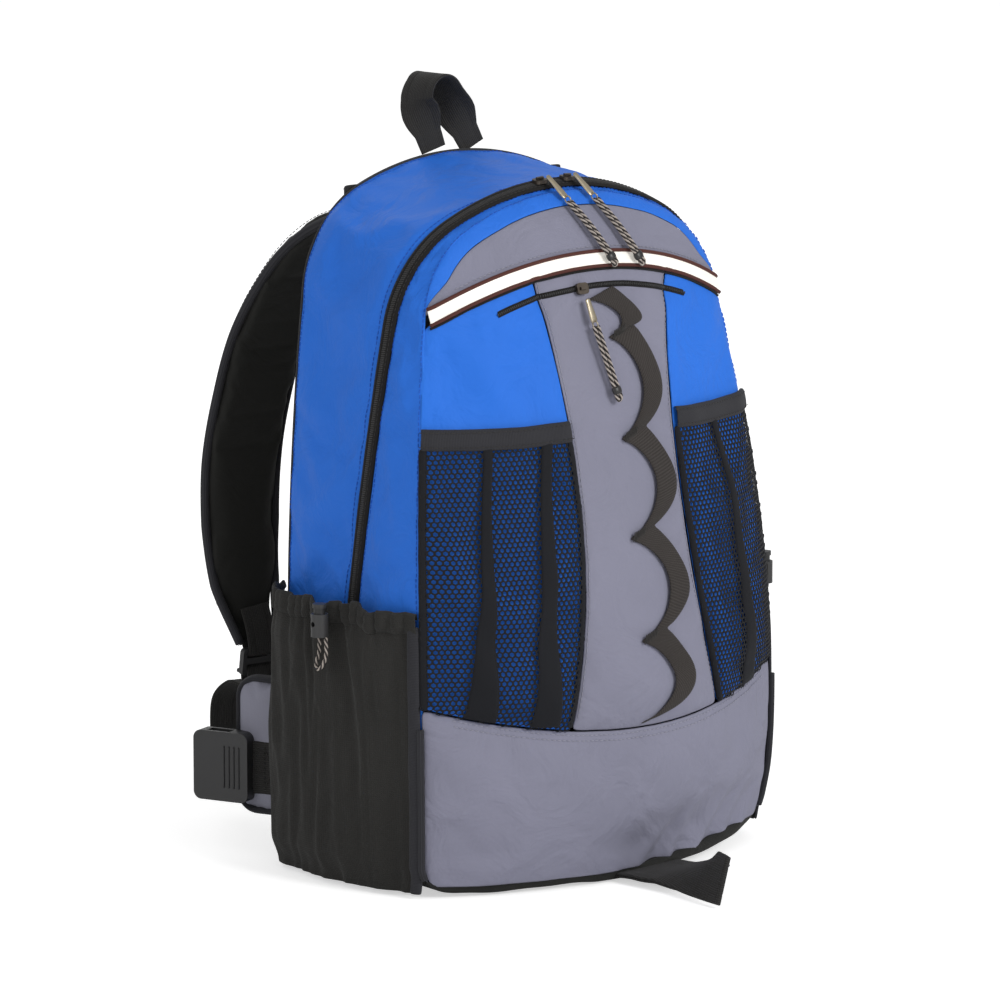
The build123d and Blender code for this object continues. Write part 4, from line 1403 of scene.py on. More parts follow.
binding_parts = []
for side in ("left", "right"):
    rows = [along_binding(side, drop, lift) for drop, lift in
            ((0.0, 0.6), (0.0, 3.2), (2.0, 3.8), (7.0, 3.9), (12.0, 3.7), (13.6, 3.2), (14.0, 1.4))]
    binding_parts.append(cloth_grid(f"{side}_binding", np.array(rows), BINDING, thickness=0.9))
    for drop in (2.2, 12.0):
        line = along_binding(side, drop, 4.4)
        normal = np.tile([0.0, -1.0, 0.1], (50, 1))
        binding_parts.append(stitches("stitch", line, normal, THREAD_BLACK, length=2.4, radius=0.28))
ride_on(join("net_bindings", binding_parts), "front", "mesh_bindings")


# ---- daisy chain ---------------------------------------------------------------------------
def chain_edges():
    """Heights, left and right edges of the daisy chain and how far each point stands off."""
    rows = []
    for (top_x, top), (bottom_x, bottom), reach in zip(CHAIN_TIPS, CHAIN_TIPS[1:], CHAIN_REACH):
        for t in np.linspace(0, 1, 26, endpoint=bottom == CHAIN_TIPS[-1][1]):
            z = top + (bottom - top) * t
            tip = top_x + (bottom_x - top_x) * t
            left = tip + reach * sin(pi * t) ** 0.62
            right = tip + CHAIN_NECK + (reach + CHAIN_SWELL) * sin(pi * t) ** 0.85
            rows.append((z, left, right, sin(pi * t)))
    return np.array(rows)


def daisy_chain():
    """Wavy webbing sewn down at its left tips, each bow standing a little off the panel."""
    edges = chain_edges()
    z, left, right, free = edges.T
    rows = []
    for share, height in ((0.0, 0.0), (0.03, 0.8), (0.14, 1.0), (0.38, 1.05), (0.62, 1.05), (0.86, 1.0),
                          (0.97, 0.8), (1.0, 0.0)):
        x = left + (right - left) * share
        drop = 7.0 * share * (1 - free)
        rows.append(on_cloth(x, z + drop, 1.0 + height + free * (1.2 + 2.2 * share)))
    chain = cloth_grid("daisy_chain_webbing", np.array(rows), CHAIN_WEB, thickness=1.3)
    tacks = []
    for tip_x, z in CHAIN_TIPS[1:-1]:
        x = np.linspace(tip_x + 5.0, tip_x + 15.0, 8)
        centre, normal = face_path(x, np.linspace(z + 1.0, z + 4.0, 8), 2.9)
        tangent = np.tile([0.25, 0.0, 1.0], (8, 1))
        tacks.append(stamp("tack", capsule(), centre, tangent, np.cross(normal, tangent), (3.6, 0.5, 0.42),
                           THREAD_BLACK))
    return join("daisy_chain", [chain] + tacks)


bend_with_front(daisy_chain(), "daisy_chain_upper", "daisy_chain_lower")


# ---- lining of the front pocket ------------------------------------------------------------
BACKING_Y, BACKING_SLOPE = -70.0, 0.0752


def backing_sheet():
    """The wall behind the front pocket."""
    low, high = box_mm("pocket_backing")
    z = np.linspace(low[2], high[2], 40)
    u = np.linspace(-1, 1, 36)
    half = np.minimum(half_width(z) - 10.0, high[0])
    x = half[:, None] * u[None]
    zz = np.broadcast_to(z[:, None], x.shape)
    y = BACKING_Y + BACKING_SLOPE * zz + 1.2 * waves(np.stack([x, zz], axis=-1), 80, 61)
    return cloth_grid("pocket_backing_cloth", np.stack([x, y, zz], axis=-1), LINING, thickness=1.0)


ride_on(backing_sheet(), "front", "pocket_backing")


# ---- side pockets --------------------------------------------------------------------------
POCKET_PLAN = (         # front to rear: where the wall's inner side is, and the way it faces
    ((158.6, -80.0), (0.97, -0.25)), ((171.0, -48.0), (0.97, -0.22)), ((178.5, -5.0), (1.0, 0.0)),
    ((180.0, 38.0), (0.99, 0.14)), ((172.0, 66.0), (0.75, 0.66)), ((150.4, 77.2), (0.3, 0.95)),
)
POCKET_FOOT, POCKET_TOP, HEM_TOP = 3.0, 188.0, 204.0
LOWER_CORNER_Z = 120.0  # where the lower panel meets the side seam


def pocket_plan(z, columns):
    """The right pocket's plan at height z, from the front seam to the back seam, with normals."""
    points = [p for p, _ in POCKET_PLAN]
    facing = [n for _, n in POCKET_PLAN]
    front_x = float(side_x(FRONT, max(z, SIDE_FOOT)))
    points[0] = (front_x + 0.6, float(face_y(front_x, z)) + 2.0)
    line = even(curve_through(np.array(points), 200), columns)
    normal = np.stack([spread([n[k] for n in facing], columns) for k in range(2)], axis=1)
    return line, unit(normal)


def pocket_wall(side, heights, columns, seed):
    """A side pocket's cloth: pleats that deepen towards the gathered hem, tucked in at its foot."""
    t = np.linspace(0, 1, columns)
    ends = np.clip(np.sin(pi * t), 0, 1) ** 0.45
    rows = []
    for z in heights:
        line, normal = pocket_plan(z, columns)
        low_z = max(z, SIDE_FOOT)
        shell_x = side_x(FRONT, low_z) * (1 - t) + side_x(BACK, low_z) * t + 1.5
        shell = np.stack([shell_x, line[:, 1]], axis=1)
        pull_in = 0.24 * smooth((26 - z) / 22) + 0.20 * smooth((z - 165) / 35)
        line = line * (1 - pull_in) + shell * pull_in
        rise = float(smooth((z - 40) / 150))
        along = lengths(line)
        place = np.stack([along, np.full(columns, z)], axis=1)
        folds = creases(place * [1.0, 0.13], 19, seed) * (0.9 + 1.3 * rise)
        folds = folds + 0.7 * waves(place * [1.0, 0.2], 15, seed + 2)
        gathers = np.sin(along / 1.7 + 2.2 * waves(place * [1, 0.25], 34, seed + 3))
        gathers = gathers * 1.3 * float(smooth((z - 150) / 45))
        slack = 2.0 * waves(place * [0.8, 0.3], 46, seed + 1)
        line = line + normal * (ends * (folds + gathers + slack))[:, None]
        frill = ends * 2.4 * waves(place * [1, 0], 20, seed + 5) * float(smooth((z - 150) / 50))
        rows.append(np.column_stack([side * line[:, 0], line[:, 1], z + frill]))
    return np.array(rows)


def push_out(points, side, amount):
    """Rows moved away from the pack by amount, in plan."""
    plan = np.gradient(points, axis=0)
    normal = unit(np.stack([plan[:, 1], -plan[:, 0], 0 * plan[:, 0]], axis=1))
    outward = np.sign((normal[:, 0] * side).sum())
    return points + normal * outward * amount


def side_pocket(name, side, seed):
    wall = pocket_wall(side, np.linspace(POCKET_FOOT, POCKET_TOP + 3, 56), 74, seed)
    cloth_wall = cloth_grid(f"side_pocket_{name}_cloth", wall, STRETCH, thickness=1.3)
    body = pocket_wall(side, np.linspace(POCKET_TOP - 3, HEM_TOP - 3, 9), 150, seed)
    hem_rows = [push_out(body[k], side, out)
                for k, out in enumerate((0.6, 1.9, 2.7, 2.9, 2.4, 2.8, 3.0, 2.2, 0.8))]
    inner = push_out(body[-1], side, -1.2)
    inner[:, 2] -= 6
    hem_rows.append(inner)
    hem = cloth_grid(f"hem_{name}", np.array(hem_rows), STRETCH, thickness=1.0)
    front_edge = wall[:, 1]
    trim_rows = [wall[:, 0] + np.array([-side * 0.8, -0.6, 0]), wall[:, 0] + np.array([side * 1.4, -1.2, 0]),
                 front_edge + np.array([side * 2.6, 0.2, 0]), wall[:, 2] + np.array([side * 2.8, 0.6, 0]),
                 wall[:, 3] + np.array([side * 0.8, 1.4, 0])]
    trim = cloth_grid(f"trim_{name}", np.array(trim_rows), BINDING, thickness=0.9)
    return cloth_wall, hem, trim


for name, side, seed in (("left", -1, 71), ("right", 1, 83)):
    cloth_wall, hem, trim = side_pocket(name, side, seed)
    z = np.linspace(14, LOWER_CORNER_Z, 60)
    seam_line = on_face(side * (face_side(z) + 0.6), z, 0.3, puff=False)
    piping = tube(f"side_seam_piping_{name}", seam_line, 2.5, BINDING)
    for piece in (cloth_wall, trim, piping):
        lift_corner(piece)
    ride_on(piping, "pack")
    ride_on(cloth_wall, "pack", f"side_pocket_{name}")
    ride_on(join(f"pocket_edges_{name}", [hem, trim]), "pack", "pocket_hems")


# ---- webbing and loops ---------------------------------------------------------------------
def ribbon(name, points, width, thickness, count):
    """Webbing that lies level across, along a smooth curve through points."""
    line = curve_through(points, count)
    return sweep_section(name, line, flat_section(width, thickness), WEBBING, (1, 0, 0))


def box_tack(name, centre, u, v, normal, size):
    """A sewn box with a cross in it, in black thread."""
    u, v, normal = (unit(a) for a in (u, v, normal))
    centre = np.asarray(centre, float)
    half_u, half_v = size[0] / 2, size[1] / 2
    corners = [(-1, -1), (1, -1), (1, 1), (-1, 1), (-1, -1), (1, 1), (1, -1), (-1, 1)]
    path = np.array([centre + u * half_u * a + v * half_v * b for a, b in corners])
    parts = []
    for start, end in zip(path, path[1:]):
        line = np.linspace(start, end, 12)
        parts.append(stitches("stitch", line, np.tile(normal, (12, 1)), THREAD_BLACK, length=2.2,
                              gap=0.8, radius=0.3))
    return join(name, parts)


STRAP_PATH = (
    ((60, 80, 446), 50, 8), ((61, 108, 445), 56, 10), ((64, 140, 428), 62, 11), ((68, 168, 400), 64, 12),
    ((73, 197, 356), 64, 12), ((77, 213, 308), 64, 12), ((80, 222, 262), 64, 12), ((82, 222, 215), 62, 12),
    ((82, 217, 170), 54, 10), ((78, 206, 128), 34, 7),
)
LINK_PATH = ((111, 83, 45), (104, 120, 41), (94, 160, 50), (84, 189, 72), (79, 201, 99), (78.2, 203.6, 108),
             (78, 207.5, 113.0))
TAIL_PATH = ((78, 206.6, 118), (79, 209.5, 109), (80, 210, 98), (84, 222, 97), (88, 233, 84), (89, 234, 60),
             (88.5, 232, 36), (88.5, 230.5, 24))


def mirror_path(points, side):
    return [(side * x, y, z) for x, y, z in points]


STRAP_COUNT = 90


def strap_surface(side, share, lift):
    """A line along a shoulder strap: share -1..1 across it, lifted off its outer face."""
    count = STRAP_COUNT
    centres = curve_through(mirror_path([p for p, _, _ in STRAP_PATH], side), count)
    width = spread([w for _, w, _ in STRAP_PATH], count)
    depth = spread([d for _, _, d in STRAP_PATH], count)
    tangent = unit(np.gradient(centres, axis=0))
    outward = unit(np.cross(np.tile([1.0, 0, 0], (count, 1)), tangent))
    outward = outward * np.sign((outward * [0, 1, 0.6]).sum(1)).reshape(-1, 1)
    place = centres + np.array([1.0, 0, 0]) * (share * width / 2)[:, None]
    return place + outward * (depth / 2 + lift)[:, None], outward


def strap_trim(name, sign):
    """A shoulder strap's edge binding, its stitched webbing and its rows of stitches."""
    parts = []
    for share in (-1, 1):
        line, outward = strap_surface(sign, share, 0.0)
        depth = spread([d for _, _, d in STRAP_PATH], STRAP_COUNT)
        middle = line - outward * (depth / 2)[:, None]
        parts.append(sweep_section("edge", middle, oval_section(3.2, 3.6, 12), BINDING, across=(1, 0, 0)))
        inner, _ = strap_surface(sign, share * 0.86, 2.6)
        parts.append(stitches("stitch", inner, outward, THREAD_BLACK, length=2.8, radius=0.3))
    line, outward = strap_surface(sign, 0.0, 3.4)
    band = sweep_section("band", line[2:], flat_section(25, 1.8), WEBBING, across=(1, 0, 0))
    parts.append(band)
    for share in (-0.34, 0.34):
        row, _ = strap_surface(sign, share, 4.6)
        parts.append(stitches("stitch", row[2:], outward[2:], THREAD_BLACK, length=2.8, radius=0.3))
    for t in (10, 26, 44, 62, 78):
        a = np.linspace(-11, 11, 9)
        centre = line[t] + outward[t] * 1.2 + np.array([1.0, 0, 0]) * a[:, None]
        tangent = np.tile(line[t + 1] - line[t - 1], (9, 1))
        parts.append(stamp("tack", capsule(), centre, tangent, np.tile([1.0, 0, 0], (9, 1)), (2.2, 0.5, 0.45),
                           THREAD_BLACK))
    return join(f"strap_{name}_trim", parts)


for side, sign in SIDES:
    ride_on(strap_trim(side, sign), f"strap_{side}")
    link = ribbon(f"strap_link_{side}", mirror_path(LINK_PATH, sign), 25, 1.8, 90)
    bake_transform(link)
    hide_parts(f"strap_webbing_{side}")
    tail = ribbon(f"strap_tail_{side}", mirror_path(TAIL_PATH, sign), 25, 1.8, 90)
    end, before = np.array(mirror_path(TAIL_PATH, sign))[[-1, -2]]
    along = unit(before - end)
    fold_path = np.array([end, end + along * 5, end + along * 11]) + [0, 1.7, 0.3]
    fold = ribbon(f"tail_fold_{side}", fold_path, 25, 1.6, 8)
    ride_on(join(f"strap_tail_{side}", [tail, fold]), f"strap_{side}", f"strap_webbing_{side}")

TAB_PATH = ((81, 216.5, 156), (79.5, 212.5, 138), (78.4, 208.6, 126), (78, 206.6, 121.0), (78, 204.2, 118.2),
            (78, 201.6, 121.0), (78.2, 201.4, 127), (79, 204, 140), (80.4, 208, 154))
for side, sign in SIDES:
    tab = ribbon(f"strap_end_tab_{side}", mirror_path(TAB_PATH, sign), 25, 1.7, 70)
    at = np.array(mirror_path(TAB_PATH, sign))[1] + np.array([0, 1.6, 0.5])
    tack = box_tack("tab_tack", at, (1, 0, 0), (0, 0.2, 1), (0, 0.97, -0.2), (18, 12))
    ride_on(join(f"strap_end_tab_{side}", [tab, tack]), f"strap_{side}")


def back_patch(name, x_range, z_range, y, material):
    """A flat sewn patch on the back panel, a little full, with stitching round its edge."""
    crown, margin = 1.2, 3.0
    columns, rows = 30, 10
    x = np.linspace(*x_range, columns)[None] + np.zeros((rows, 1))
    z = np.linspace(*z_range, rows)[:, None] + np.zeros((1, columns))
    edge = np.minimum.reduce([x - x_range[0], x_range[1] - x, z - z_range[0], z_range[1] - z])
    yy = y + crown * (1 - np.exp(-edge / 4)) - 0.8 * np.exp(-edge / 0.8)
    patch = cloth_grid(name, np.stack([x, yy, z], axis=-1), material, thickness=1.6)
    (x0, x1), (z0, z1) = ((low + margin, high - margin) for low, high in (x_range, z_range))
    corners = [(x0, z0), (x1, z0), (x1, z1), (x0, z1), (x0, z0)]
    parts = [patch]
    for (xa, za), (xb, zb) in zip(corners, corners[1:]):
        line = np.linspace((xa, y + crown + 0.9, za), (xb, y + crown + 0.9, zb), 30)
        parts.append(stitches("stitch", line, np.tile([0.0, 1.0, 0.0], (30, 1)), THREAD_GREY, radius=0.3))
    return join(name, parts)


ride_on(back_patch("strap_yoke", (-98, 98), (450, 474), 77.6, WEBBING), "pack", "back_panel")


# the back pads' and lumbar pad's outlines: middle x, middle z, width, height, corner radius
PAD_OUTLINES = ((-57, 286, 74, 276, 18), (57, 286, 74, 276, 18), (0, 84, 186, 104, 24))
BACK_SEAM_Y = 77.6


def rounded_rectangle(half_w, half_h, r, count):
    """(u, v) points round a rectangle with round corners, closed."""
    path = []
    for u, v, start in ((1, 1, 0), (-1, 1, 90), (-1, -1, 180), (1, -1, 270)):
        for a in np.radians(np.linspace(start, start + 90, count)):
            path.append((u * (half_w - r) + r * cos(a), v * (half_h - r) + r * sin(a)))
    return np.array(path + path[:1])


def pad_seams():
    """Stitched outlines of the back padding, with a black cord along each."""
    parts = []
    for centre_x, centre_z, width, height, radius in PAD_OUTLINES:
        xz = rounded_rectangle(width / 2 + 3.0, height / 2 + 3.0, radius + 2.0, 10) + [centre_x, centre_z]
        path = np.column_stack([xz[:, 0], np.full(len(xz), BACK_SEAM_Y), xz[:, 1]])
        line = even(path, 300)
        parts.append(stitches("stitch", line, np.tile([0.0, 1.0, 0.0], (300, 1)), THREAD_GREY, radius=0.34))
        parts.append(tube("groove_cord", line + [0, -0.5, 0], 1.1, BLACK, sides=8))
    return join("pad_seams", parts)


ride_on(pad_seams(), "pack", "back_panel")

# ---- hip fins and buckle -------------------------------------------------------------------
FIN_HINGE, FIN_YAW, FIN_MID_Z, BUCKLE_Z = (134.0, 80.0), radians(23.0), 76.5, 61.5
FIN_MID_ALONG, BUCKLE_OUT = 28.0, 11.6      # middle of a fin's length; the buckle's middle plane


def on_fin(side, along, out, z):
    """A point given along a hip fin, out from its middle and up."""
    x = FIN_HINGE[0] + along * sin(FIN_YAW) + out * cos(FIN_YAW)
    y = FIN_HINGE[1] + along * cos(FIN_YAW) - out * sin(FIN_YAW)
    return np.array([side * x, y, z])


def fin_root(name, side):
    """The cloth that joins a hip fin to the back seam, over and under its foam."""
    sheets = []
    for label, out, bulge, root_x in (("out", 4.6, 1.5, 141.0), ("in", -4.6, -1.0, 124.0)):
        a = np.array([(side * root_x, 76.6, z) for z in np.linspace(26, 127, 24)])
        b = np.array([on_fin(side, 10.0, out + bulge, z) for z in np.linspace(32, 121, 24)])
        c = np.array([on_fin(side, 16.0, out * 1.05 + bulge * 0.6, z) for z in np.linspace(35, 118, 24)])
        grid = [a * (1 - t) + b * t for t in np.linspace(0, 1, 6)] + [b * (1 - t) + c * t for t in (0.5, 1.0)]
        sheets.append(cloth_grid(f"{name}_{label}", np.array(grid), BLACK, thickness=1.4))
    return join(name, sheets)


def fin_trim(name, side):
    """A hip fin's binding round its edge, and the wide webbing sewn along its middle."""
    outline = rounded_rectangle(22.0, 47.5, 14.0, 9)
    line = np.array([on_fin(side, FIN_MID_ALONG + a, 0.0, FIN_MID_Z + b) for a, b in outline])
    out_dir = on_fin(side, 0, 1, 0) - on_fin(side, 0, 0, 0)
    binding = sweep_section("binding", even(line, 120), oval_section(5.8, 2.6, 14), BINDING, across=out_dir,
                            caps=False)
    band_line = np.array([on_fin(side, a, o, BUCKLE_Z) for a, o in
                          ((6, 6.2), (10, 6.8), (20, 7.6), (30, 8.0), (38, 10.0), (46, 11.4))])
    band = sweep_section("band", curve_through(band_line, 40), flat_section(38, 1.9), WEBBING,
                         across=(0, 0, 1))
    along = on_fin(side, 1, 0, 0) - on_fin(side, 0, 0, 0)
    tack = box_tack("tack", on_fin(side, 19, 9.2, BUCKLE_Z), along, (0, 0, 1), out_dir, (14, 28))
    return join(name, [binding, band, tack])


def buckle_plug(side):
    """The plug: ribbed body, two springy arms with barbs, and a centre guide."""
    parts = []
    rounded = np.array([(abs(cos(a)) ** 0.5 * np.sign(cos(a)), abs(sin(a)) ** 0.5 * np.sign(sin(a)))
                        for a in np.linspace(0, 2 * pi, 28, endpoint=False)])
    body = [on_fin(side, a, BUCKLE_OUT, BUCKLE_Z) for a in np.linspace(36, 56, 9)]
    scale = [(k, j) for k, j in ((21, 4.8), (22.4, 5.6), (22.8, 5.9), (22.6, 5.4), (22.6, 5.9), (22.4, 5.4),
                                 (22.0, 5.8), (20.6, 5.4), (18.4, 4.4))]
    parts.append(sweep_section("body", np.array(body), rounded, PLASTIC, across=(0, 0, 1), scale=scale))
    for s in (-1, 1):
        arm = np.array([on_fin(side, along, BUCKLE_OUT, BUCKLE_Z + s * apart)
                        for along, apart in ((55, 12.5), (64, 13.0), (74, 14.5), (80, 16.5), (84, 14.5))])
        line = curve_through(arm, 24)
        t = np.linspace(0, 1, 24)
        scale = np.stack([np.interp(t, [0, 0.6, 0.82, 0.92, 1], [2.2, 2.1, 4.4, 3.6, 1.4]),
                          np.interp(t, [0, 0.7, 1], [2.9, 2.9, 2.0])], axis=1)
        parts.append(sweep_section("arm", line, rounded, PLASTIC, across=(0, 0, 1), scale=scale))
    guide = [on_fin(side, a, BUCKLE_OUT, BUCKLE_Z) for a in np.linspace(55, 76, 8)]
    scale = [(4.2, 2.0)] * 6 + [(3.6, 1.7), (2.4, 1.0)]
    parts.append(sweep_section("guide", np.array(guide), rounded, PLASTIC, across=(0, 0, 1), scale=scale))
    return join("buckle_plug_moulding", parts)


def socket_ribs(side):
    """Grip ribs on the socket's outside."""
    parts = []
    out_dir = on_fin(side, 0, 1, 0) - on_fin(side, 0, 0, 0)
    for along in (42, 46, 50, 54):
        line = np.array([on_fin(side, along, 18.1, z) for z in np.linspace(BUCKLE_Z - 15, BUCKLE_Z + 15, 12)])
        parts.append(sweep_section("rib", line, oval_section(0.9, 0.7), PLASTIC, across=out_dir))
    return join("buckle_socket_ribs", parts)


for name, side in SIDES:
    root = fin_root(f"fin_root_{name}", side)
    start, end = Vector((side * 134, 77, FIN_MID_Z)), Vector(on_fin(side, 12, 0, FIN_MID_Z))
    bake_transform(root)
    ride_on(fin_trim(f"fin_trim_{name}", side), f"fin_{name}", f"belt_webbing_{name}")
ride_on(buckle_plug(1), "fin_right", "buckle_plug")
ride_on(socket_ribs(-1), "fin_left")

HAUL_PATH = ((-16, 79.2, 492.5), (-19, 81.8, 504.0), (-22, 85, 516.0), (-24, 88, 529.0), (-19, 88, 541.0),
             (-11, 88, 545.0), (-3, 88, 541.0), (3, 88, 530.0), (9, 85, 516.0), (14, 81.8, 504.0),
             (19, 79.2, 492.5))
HAUL_TURN = (180, 176, 140, 98, 92, 97, 106, 116, 146, 176, 180)
HAUL_WIDTH = (22, 23, 27, 31, 31, 31, 31, 31, 28, 23, 22)


def haul_loop():
    """The carrying loop: feet flat in the seam, its webbing turned on edge at the top."""
    line = curve_through(HAUL_PATH, 110)
    turn = np.radians(spread(HAUL_TURN, 110))
    across = np.stack([np.cos(turn), np.sin(turn), 0 * turn], axis=1)
    scale = np.stack([spread(HAUL_WIDTH, 110) / 30.0, np.ones(110)], axis=1)
    return sweep_section("haul_band", line, flat_section(30, 2.0), WEBBING, across, scale)


ride_on(haul_loop(), "haul", "haul_loop")

LASH_PATH = ((14, -117, 4.4), (14, -127, 5.4), (13, -148, 7.6), (9, -174, 12.4), (0, -200, 17.0),
             (-8, -228, 18.4))
LASH_ACROSS = ((0.98, 0.2, 0), (0.98, 0.2, 0), (0.97, 0.2, 0.1), (0.86, 0.1, 0.4), (0.55, 0.0, 0.8),
               (0.28, 0.0, 0.96))
LASH_WIDTH = (60, 58, 48, 39, 36, 34)


def lash_loop():
    """The flattened loop in the bottom seam: two plies of webbing with a folded end."""
    line = curve_through(LASH_PATH, 70)
    across = np.stack([spread([a[k] for a in LASH_ACROSS], 70) for k in range(3)], axis=1)
    scale = np.stack([spread(LASH_WIDTH, 70) / 38.0, np.ones(70)], axis=1)
    _, side, up = path_frames(line, across)
    plies = [sweep_section(name, line + up * lift, flat_section(38, 1.7), WEBBING, across, scale)
             for name, lift in (("ply_low", -0.95), ("ply_high", 0.95))]
    onward = unit(line[-1] - line[-2])
    wrap = [line[-1] + up[-1] * sin(a) + onward * cos(a) * 1.4 for a in np.linspace(-pi / 2, pi / 2, 9)]
    fold = sweep_section("fold", np.array(wrap), flat_section(34, 1.6), WEBBING, across[-1])
    tack_at = line[-9] + up[-9] * 2.1
    tack = box_tack("lash_tack", tack_at, side[-9], line[-8] - line[-10], up[-9], (22, 18))
    return join("lash_webbing", plies + [fold, tack])


ride_on(lash_loop(), "lash", "lash_loop")


# ---- zip pulls and drawcords ---------------------------------------------------------------
BRAID_TURNS = 0.10      # turns of a strand per millimetre


def braid(line, radius):
    """A braided cord: a core with four strands laid round it, two of them pale."""
    step = 0.8
    count = max(12, int(path_length(line) / step))
    line = even(np.asarray(line, float), count)
    _, side, up = path_frames(line)
    s = np.linspace(0, path_length(line), count)
    parts = [tube("core", line, radius * 0.72, CORD_DARK, sides=8)]
    for k in range(4):
        angle = 2 * pi * (BRAID_TURNS * s + k / 4)
        around = line + (side * np.cos(angle)[:, None] + up * np.sin(angle)[:, None]) * radius * 0.56
        material = CORD_LIGHT if k % 2 else CORD_DARK
        parts.append(tube("strand", around, radius * 0.46, material, sides=6))
    return parts


def torus(name, centre, axis, ring, wire, material):
    """A round ring of wire about an axis."""
    axis = unit(axis)
    u = unit(np.cross(axis, [0.2, 0.9, 0.3]))
    v = np.cross(axis, u)
    angle = np.linspace(0, 2 * pi, 28)
    line = np.asarray(centre, float) + ring * (np.cos(angle)[:, None] * u + np.sin(angle)[:, None] * v)
    return tube(name, line, wire, material, sides=8)


TAB_LENGTH = 17.0


def cord_pull(name, body, node, top, end, tab_lift, end_lift):
    """A slider's pull: ring, tapered metal tab with an eye, braided cord loop and moulded end."""
    top = np.array(top, float)
    reach = np.array([end[0] - top[0], end[1] - top[2]])
    share = TAB_LENGTH / np.linalg.norm(reach)
    tab_xz = np.array([top[0], top[2]]) + reach * share
    tab_end = np.array([tab_xz[0], float(face_y(*tab_xz)) - tab_lift, tab_xz[1]])
    along = unit(tab_end - top)
    outward = np.cross(along, [1.0, 0, 0])
    outward = outward if outward[1] < 0 else -outward
    side = np.cross(outward, along)
    parts = []
    profile = ((0.0, 1.6, 0.5), (0.06, 2.6, 0.75), (0.3, 2.2, 0.8), (0.6, 3.1, 0.8), (0.92, 3.4, 0.75),
               (1.0, 2.5, 0.45))
    octagon = ((-1, 0), (-0.8, 1), (0, 1.15), (0.8, 1), (1, 0), (0.8, -1), (0, -1.15), (-0.8, -1))
    rings = []
    for t, half, depth in profile:
        c = top + (tab_end - top) * t
        rings.append([c + side * half * a + outward * depth * b for a, b in octagon])
    rings = np.array(rings)
    faces = grid_faces(len(profile), 8, closed=True) + [tuple(range(8))[::-1], tuple(range(40, 48))]
    tab = new_object("tab", rings.reshape(-1, 3), faces)
    tab.data.materials.append(TAB)
    rounded_off(tab, 1)
    parts.append(tab)
    parts.append(torus("ring", tab_end + along * 1.2, side, 2.6, 0.55, TAB))
    start_xz = np.array([top[0], top[2]]) + reach * (share * (1 + 2.4 / TAB_LENGTH))
    line = []
    for t in np.linspace(0, 1, 7):
        xz = start_xz + (np.array(end) - start_xz) * t
        lift = tab_lift + (end_lift - tab_lift) * t
        line.append((xz[0], float(face_y(*xz)) - lift, xz[1]))
    line = np.array(line)
    gap = np.array([1.75, 0, 0])      # half the space between the loop's two cords
    tip = line[-1] - np.array([0, 0, 2.6])
    loop = curve_through(np.vstack([line - gap, [tip], (line + gap)[::-1]]), 200)
    parts += braid(loop, 1.45)
    collar = [line[-2] + (line[-1] - line[-2]) * 0.15, line[-2] + (line[-1] - line[-2]) * 0.75]
    taper = [(k, k) for k in (0.8, 0.97, 1.0, 1.0, 0.97, 0.8)]
    parts.append(sweep_section("collar", np.linspace(collar[0], collar[1], 6), oval_section(3.9, 2.4, 14),
                               COIL, across=(1, 0, 0), scale=taper))
    return ride_on(join(name, parts), body, node)


cord_pull("pull_left_cord", "pull_left", "main_pull_left", (-15, -46.0, 486.5), (14, 428), 8.4, 7.4)
cord_pull("pull_right_cord", "pull_right", "main_pull_right", (9, -46.0, 486.5), (40, 426), 8.4, 7.4)
slider_x, slider_z = -16.0, 411.5
cord_pull("pull_pocket_cord", "pull_pocket", "pocket_pull",
          (slider_x + 0.5, float(face_y(slider_x, slider_z)) - 7.4, slider_z - 6.0), (-2, 338), 5.2, 5.6)

cord_parts = []
for name, side in SIDES:
    low, high = box_mm(f"cord_lock_{name}")
    x = (low[0] + high[0]) / 2 * side
    y = (low[1] + high[1]) / 2
    z = (low[2] + high[2]) / 2 - 11
    loop = [(x - 2.5, y - 3.5, z + 4), (x - 2.5, y - 4, z - 9), (x, y - 3, z - 17), (x + 1, y + 1, z - 20),
            (x, y + 4, z - 16), (x - 2.5, y + 4, z - 9), (x - 2.5, y + 3.5, z + 4)]
    cord_parts += braid(curve_through(mirror_path(loop, side), 120), 1.35)
ride_on(join("hem_drawcords", cord_parts), "pack", "drawcords")


# ---- finish of the hardware that keeps its exact form ---------------------------------------
FINISH = {
    SLIDER: ("main_slider_left", "main_slider_right", "pocket_slider"),
    PLASTIC: ("ladder_lock_left", "ladder_lock_right", "buckle_socket", "cord_lock_left", "cord_lock_right",
              "cord_button_left", "cord_button_right"),
    SHEET: ("frame_sheet",),
    WEBBING: ("strap_anchors",),
}
for material, nodes in FINISH.items():
    for node in nodes:
        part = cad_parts[node]
        part.data.materials.clear()
        part.data.materials.append(material)
        bevel = part.modifiers.new("edges", "BEVEL")
        bevel.width = (0.25 if material is SLIDER else 0.6) * MM
        bevel.segments = 3
        bevel.limit_method = "ANGLE"
        bevel.angle_limit = radians(35)
        bevel.harden_normals = True


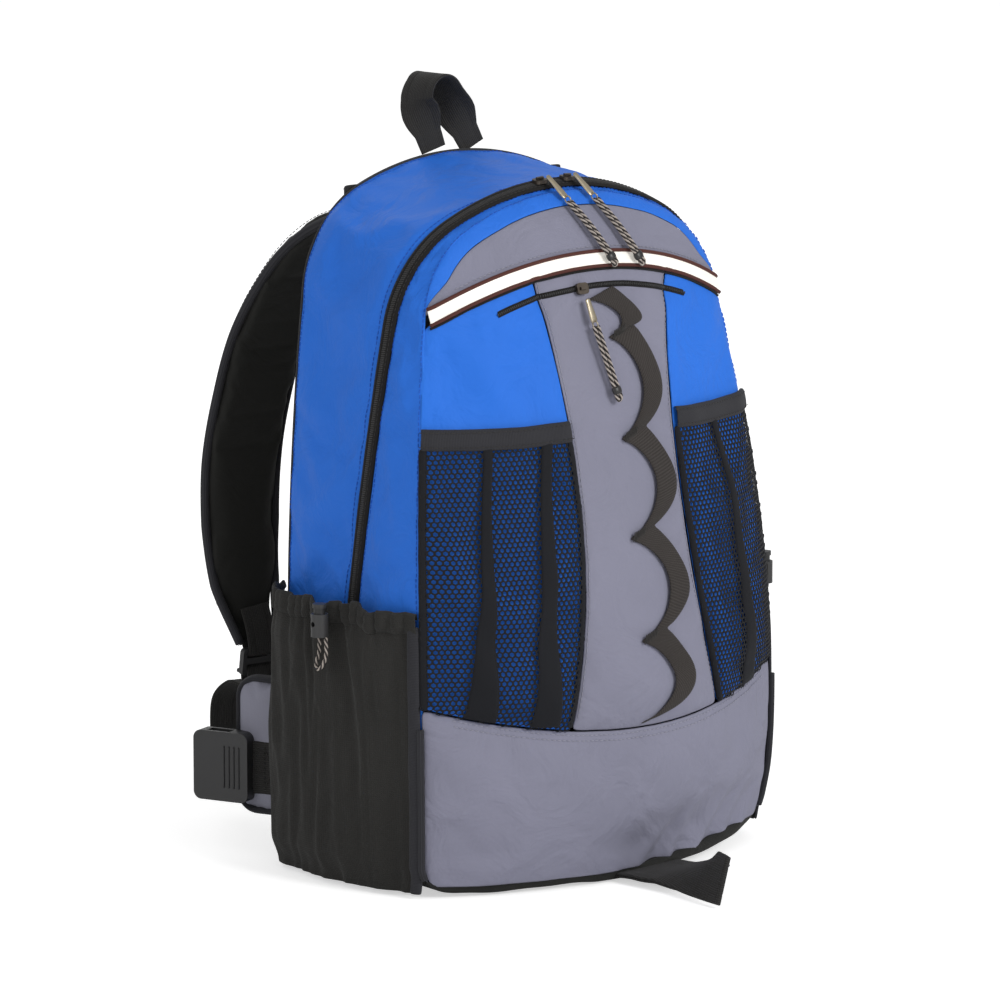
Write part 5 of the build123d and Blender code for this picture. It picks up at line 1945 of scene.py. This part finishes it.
# ---- floor, light and camera ---------------------------------------------------------------
def stage_set():
    """A pale floor, soft studio light and the camera."""
    floor_mesh = bpy.data.meshes.new("floor")
    floor_mesh.from_pydata([(-9, -9, 0), (9, -9, 0), (9, 9, 0), (-9, 9, 0)], [], [(0, 1, 2, 3)])
    floor = bpy.data.objects.new("floor", floor_mesh)
    floor.location = (0, 0, -0.0005)
    bpy.context.scene.collection.objects.link(floor)
    white = Nodes("floor_white")
    seen = white.add("ShaderNodeLightPath").outputs["Is Camera Ray"]
    glow = white.math("MULTIPLY", seen, 0.55)
    floor_mesh.materials.append(white.set(Base_Color=(0.93, 0.93, 0.93, 1), Roughness=0.9,
                                          Emission_Color=(1, 1, 1, 1), Emission_Strength=glow))
    world = bpy.data.worlds.new("studio")
    world.use_nodes = True
    tree = world.node_tree
    path = tree.nodes.new("ShaderNodeLightPath")
    strength = tree.nodes.new("ShaderNodeMath")
    strength.operation = "MULTIPLY_ADD"
    strength.inputs[1].default_value = 0.7
    strength.inputs[2].default_value = 0.5
    tree.links.new(path.outputs["Is Camera Ray"], strength.inputs[0])
    tree.links.new(strength.outputs[0], tree.nodes["Background"].inputs[1])
    tree.nodes["Background"].inputs[0].default_value = (1, 1, 1, 1)
    bpy.context.scene.world = world
    for name, place, size, power in (
            ("key", (0.6, -3.2, 1.9), 1.3, 62.0),
            ("fill", (-3.2, -0.6, 1.0), 2.2, 15.0),
            ("rim", (0.9, 3.0, 2.0), 1.8, 16.0)):
        light = bpy.data.lights.new(name, "AREA")
        light.energy = power
        light.size = size
        lamp = bpy.data.objects.new(name, light)
        lamp.location = place
        lamp.rotation_euler = (Vector((0, 0, 0.25)) - lamp.location).to_track_quat("-Z", "Y").to_euler()
        bpy.context.scene.collection.objects.link(lamp)
    camera_data = bpy.data.cameras.new("camera")
    camera = bpy.data.objects.new("camera", camera_data)
    azimuth, elevation, distance = radians(-39.0), radians(10.0), 4.8
    target = Vector((0, 0, 0.245))
    away = Vector((sin(azimuth) * cos(elevation), -cos(azimuth) * cos(elevation), sin(elevation)))
    camera.location = target + away * distance
    camera.rotation_euler = (-away).to_track_quat("-Z", "Y").to_euler()
    camera_data.lens = 245.5
    camera_data.sensor_width = 36
    camera_data.shift_x = -0.022
    camera_data.shift_y = 0.008
    bpy.context.scene.collection.objects.link(camera)
    bpy.context.scene.camera = camera
    bpy.context.scene.view_settings.view_transform = "Standard"


stage_set()
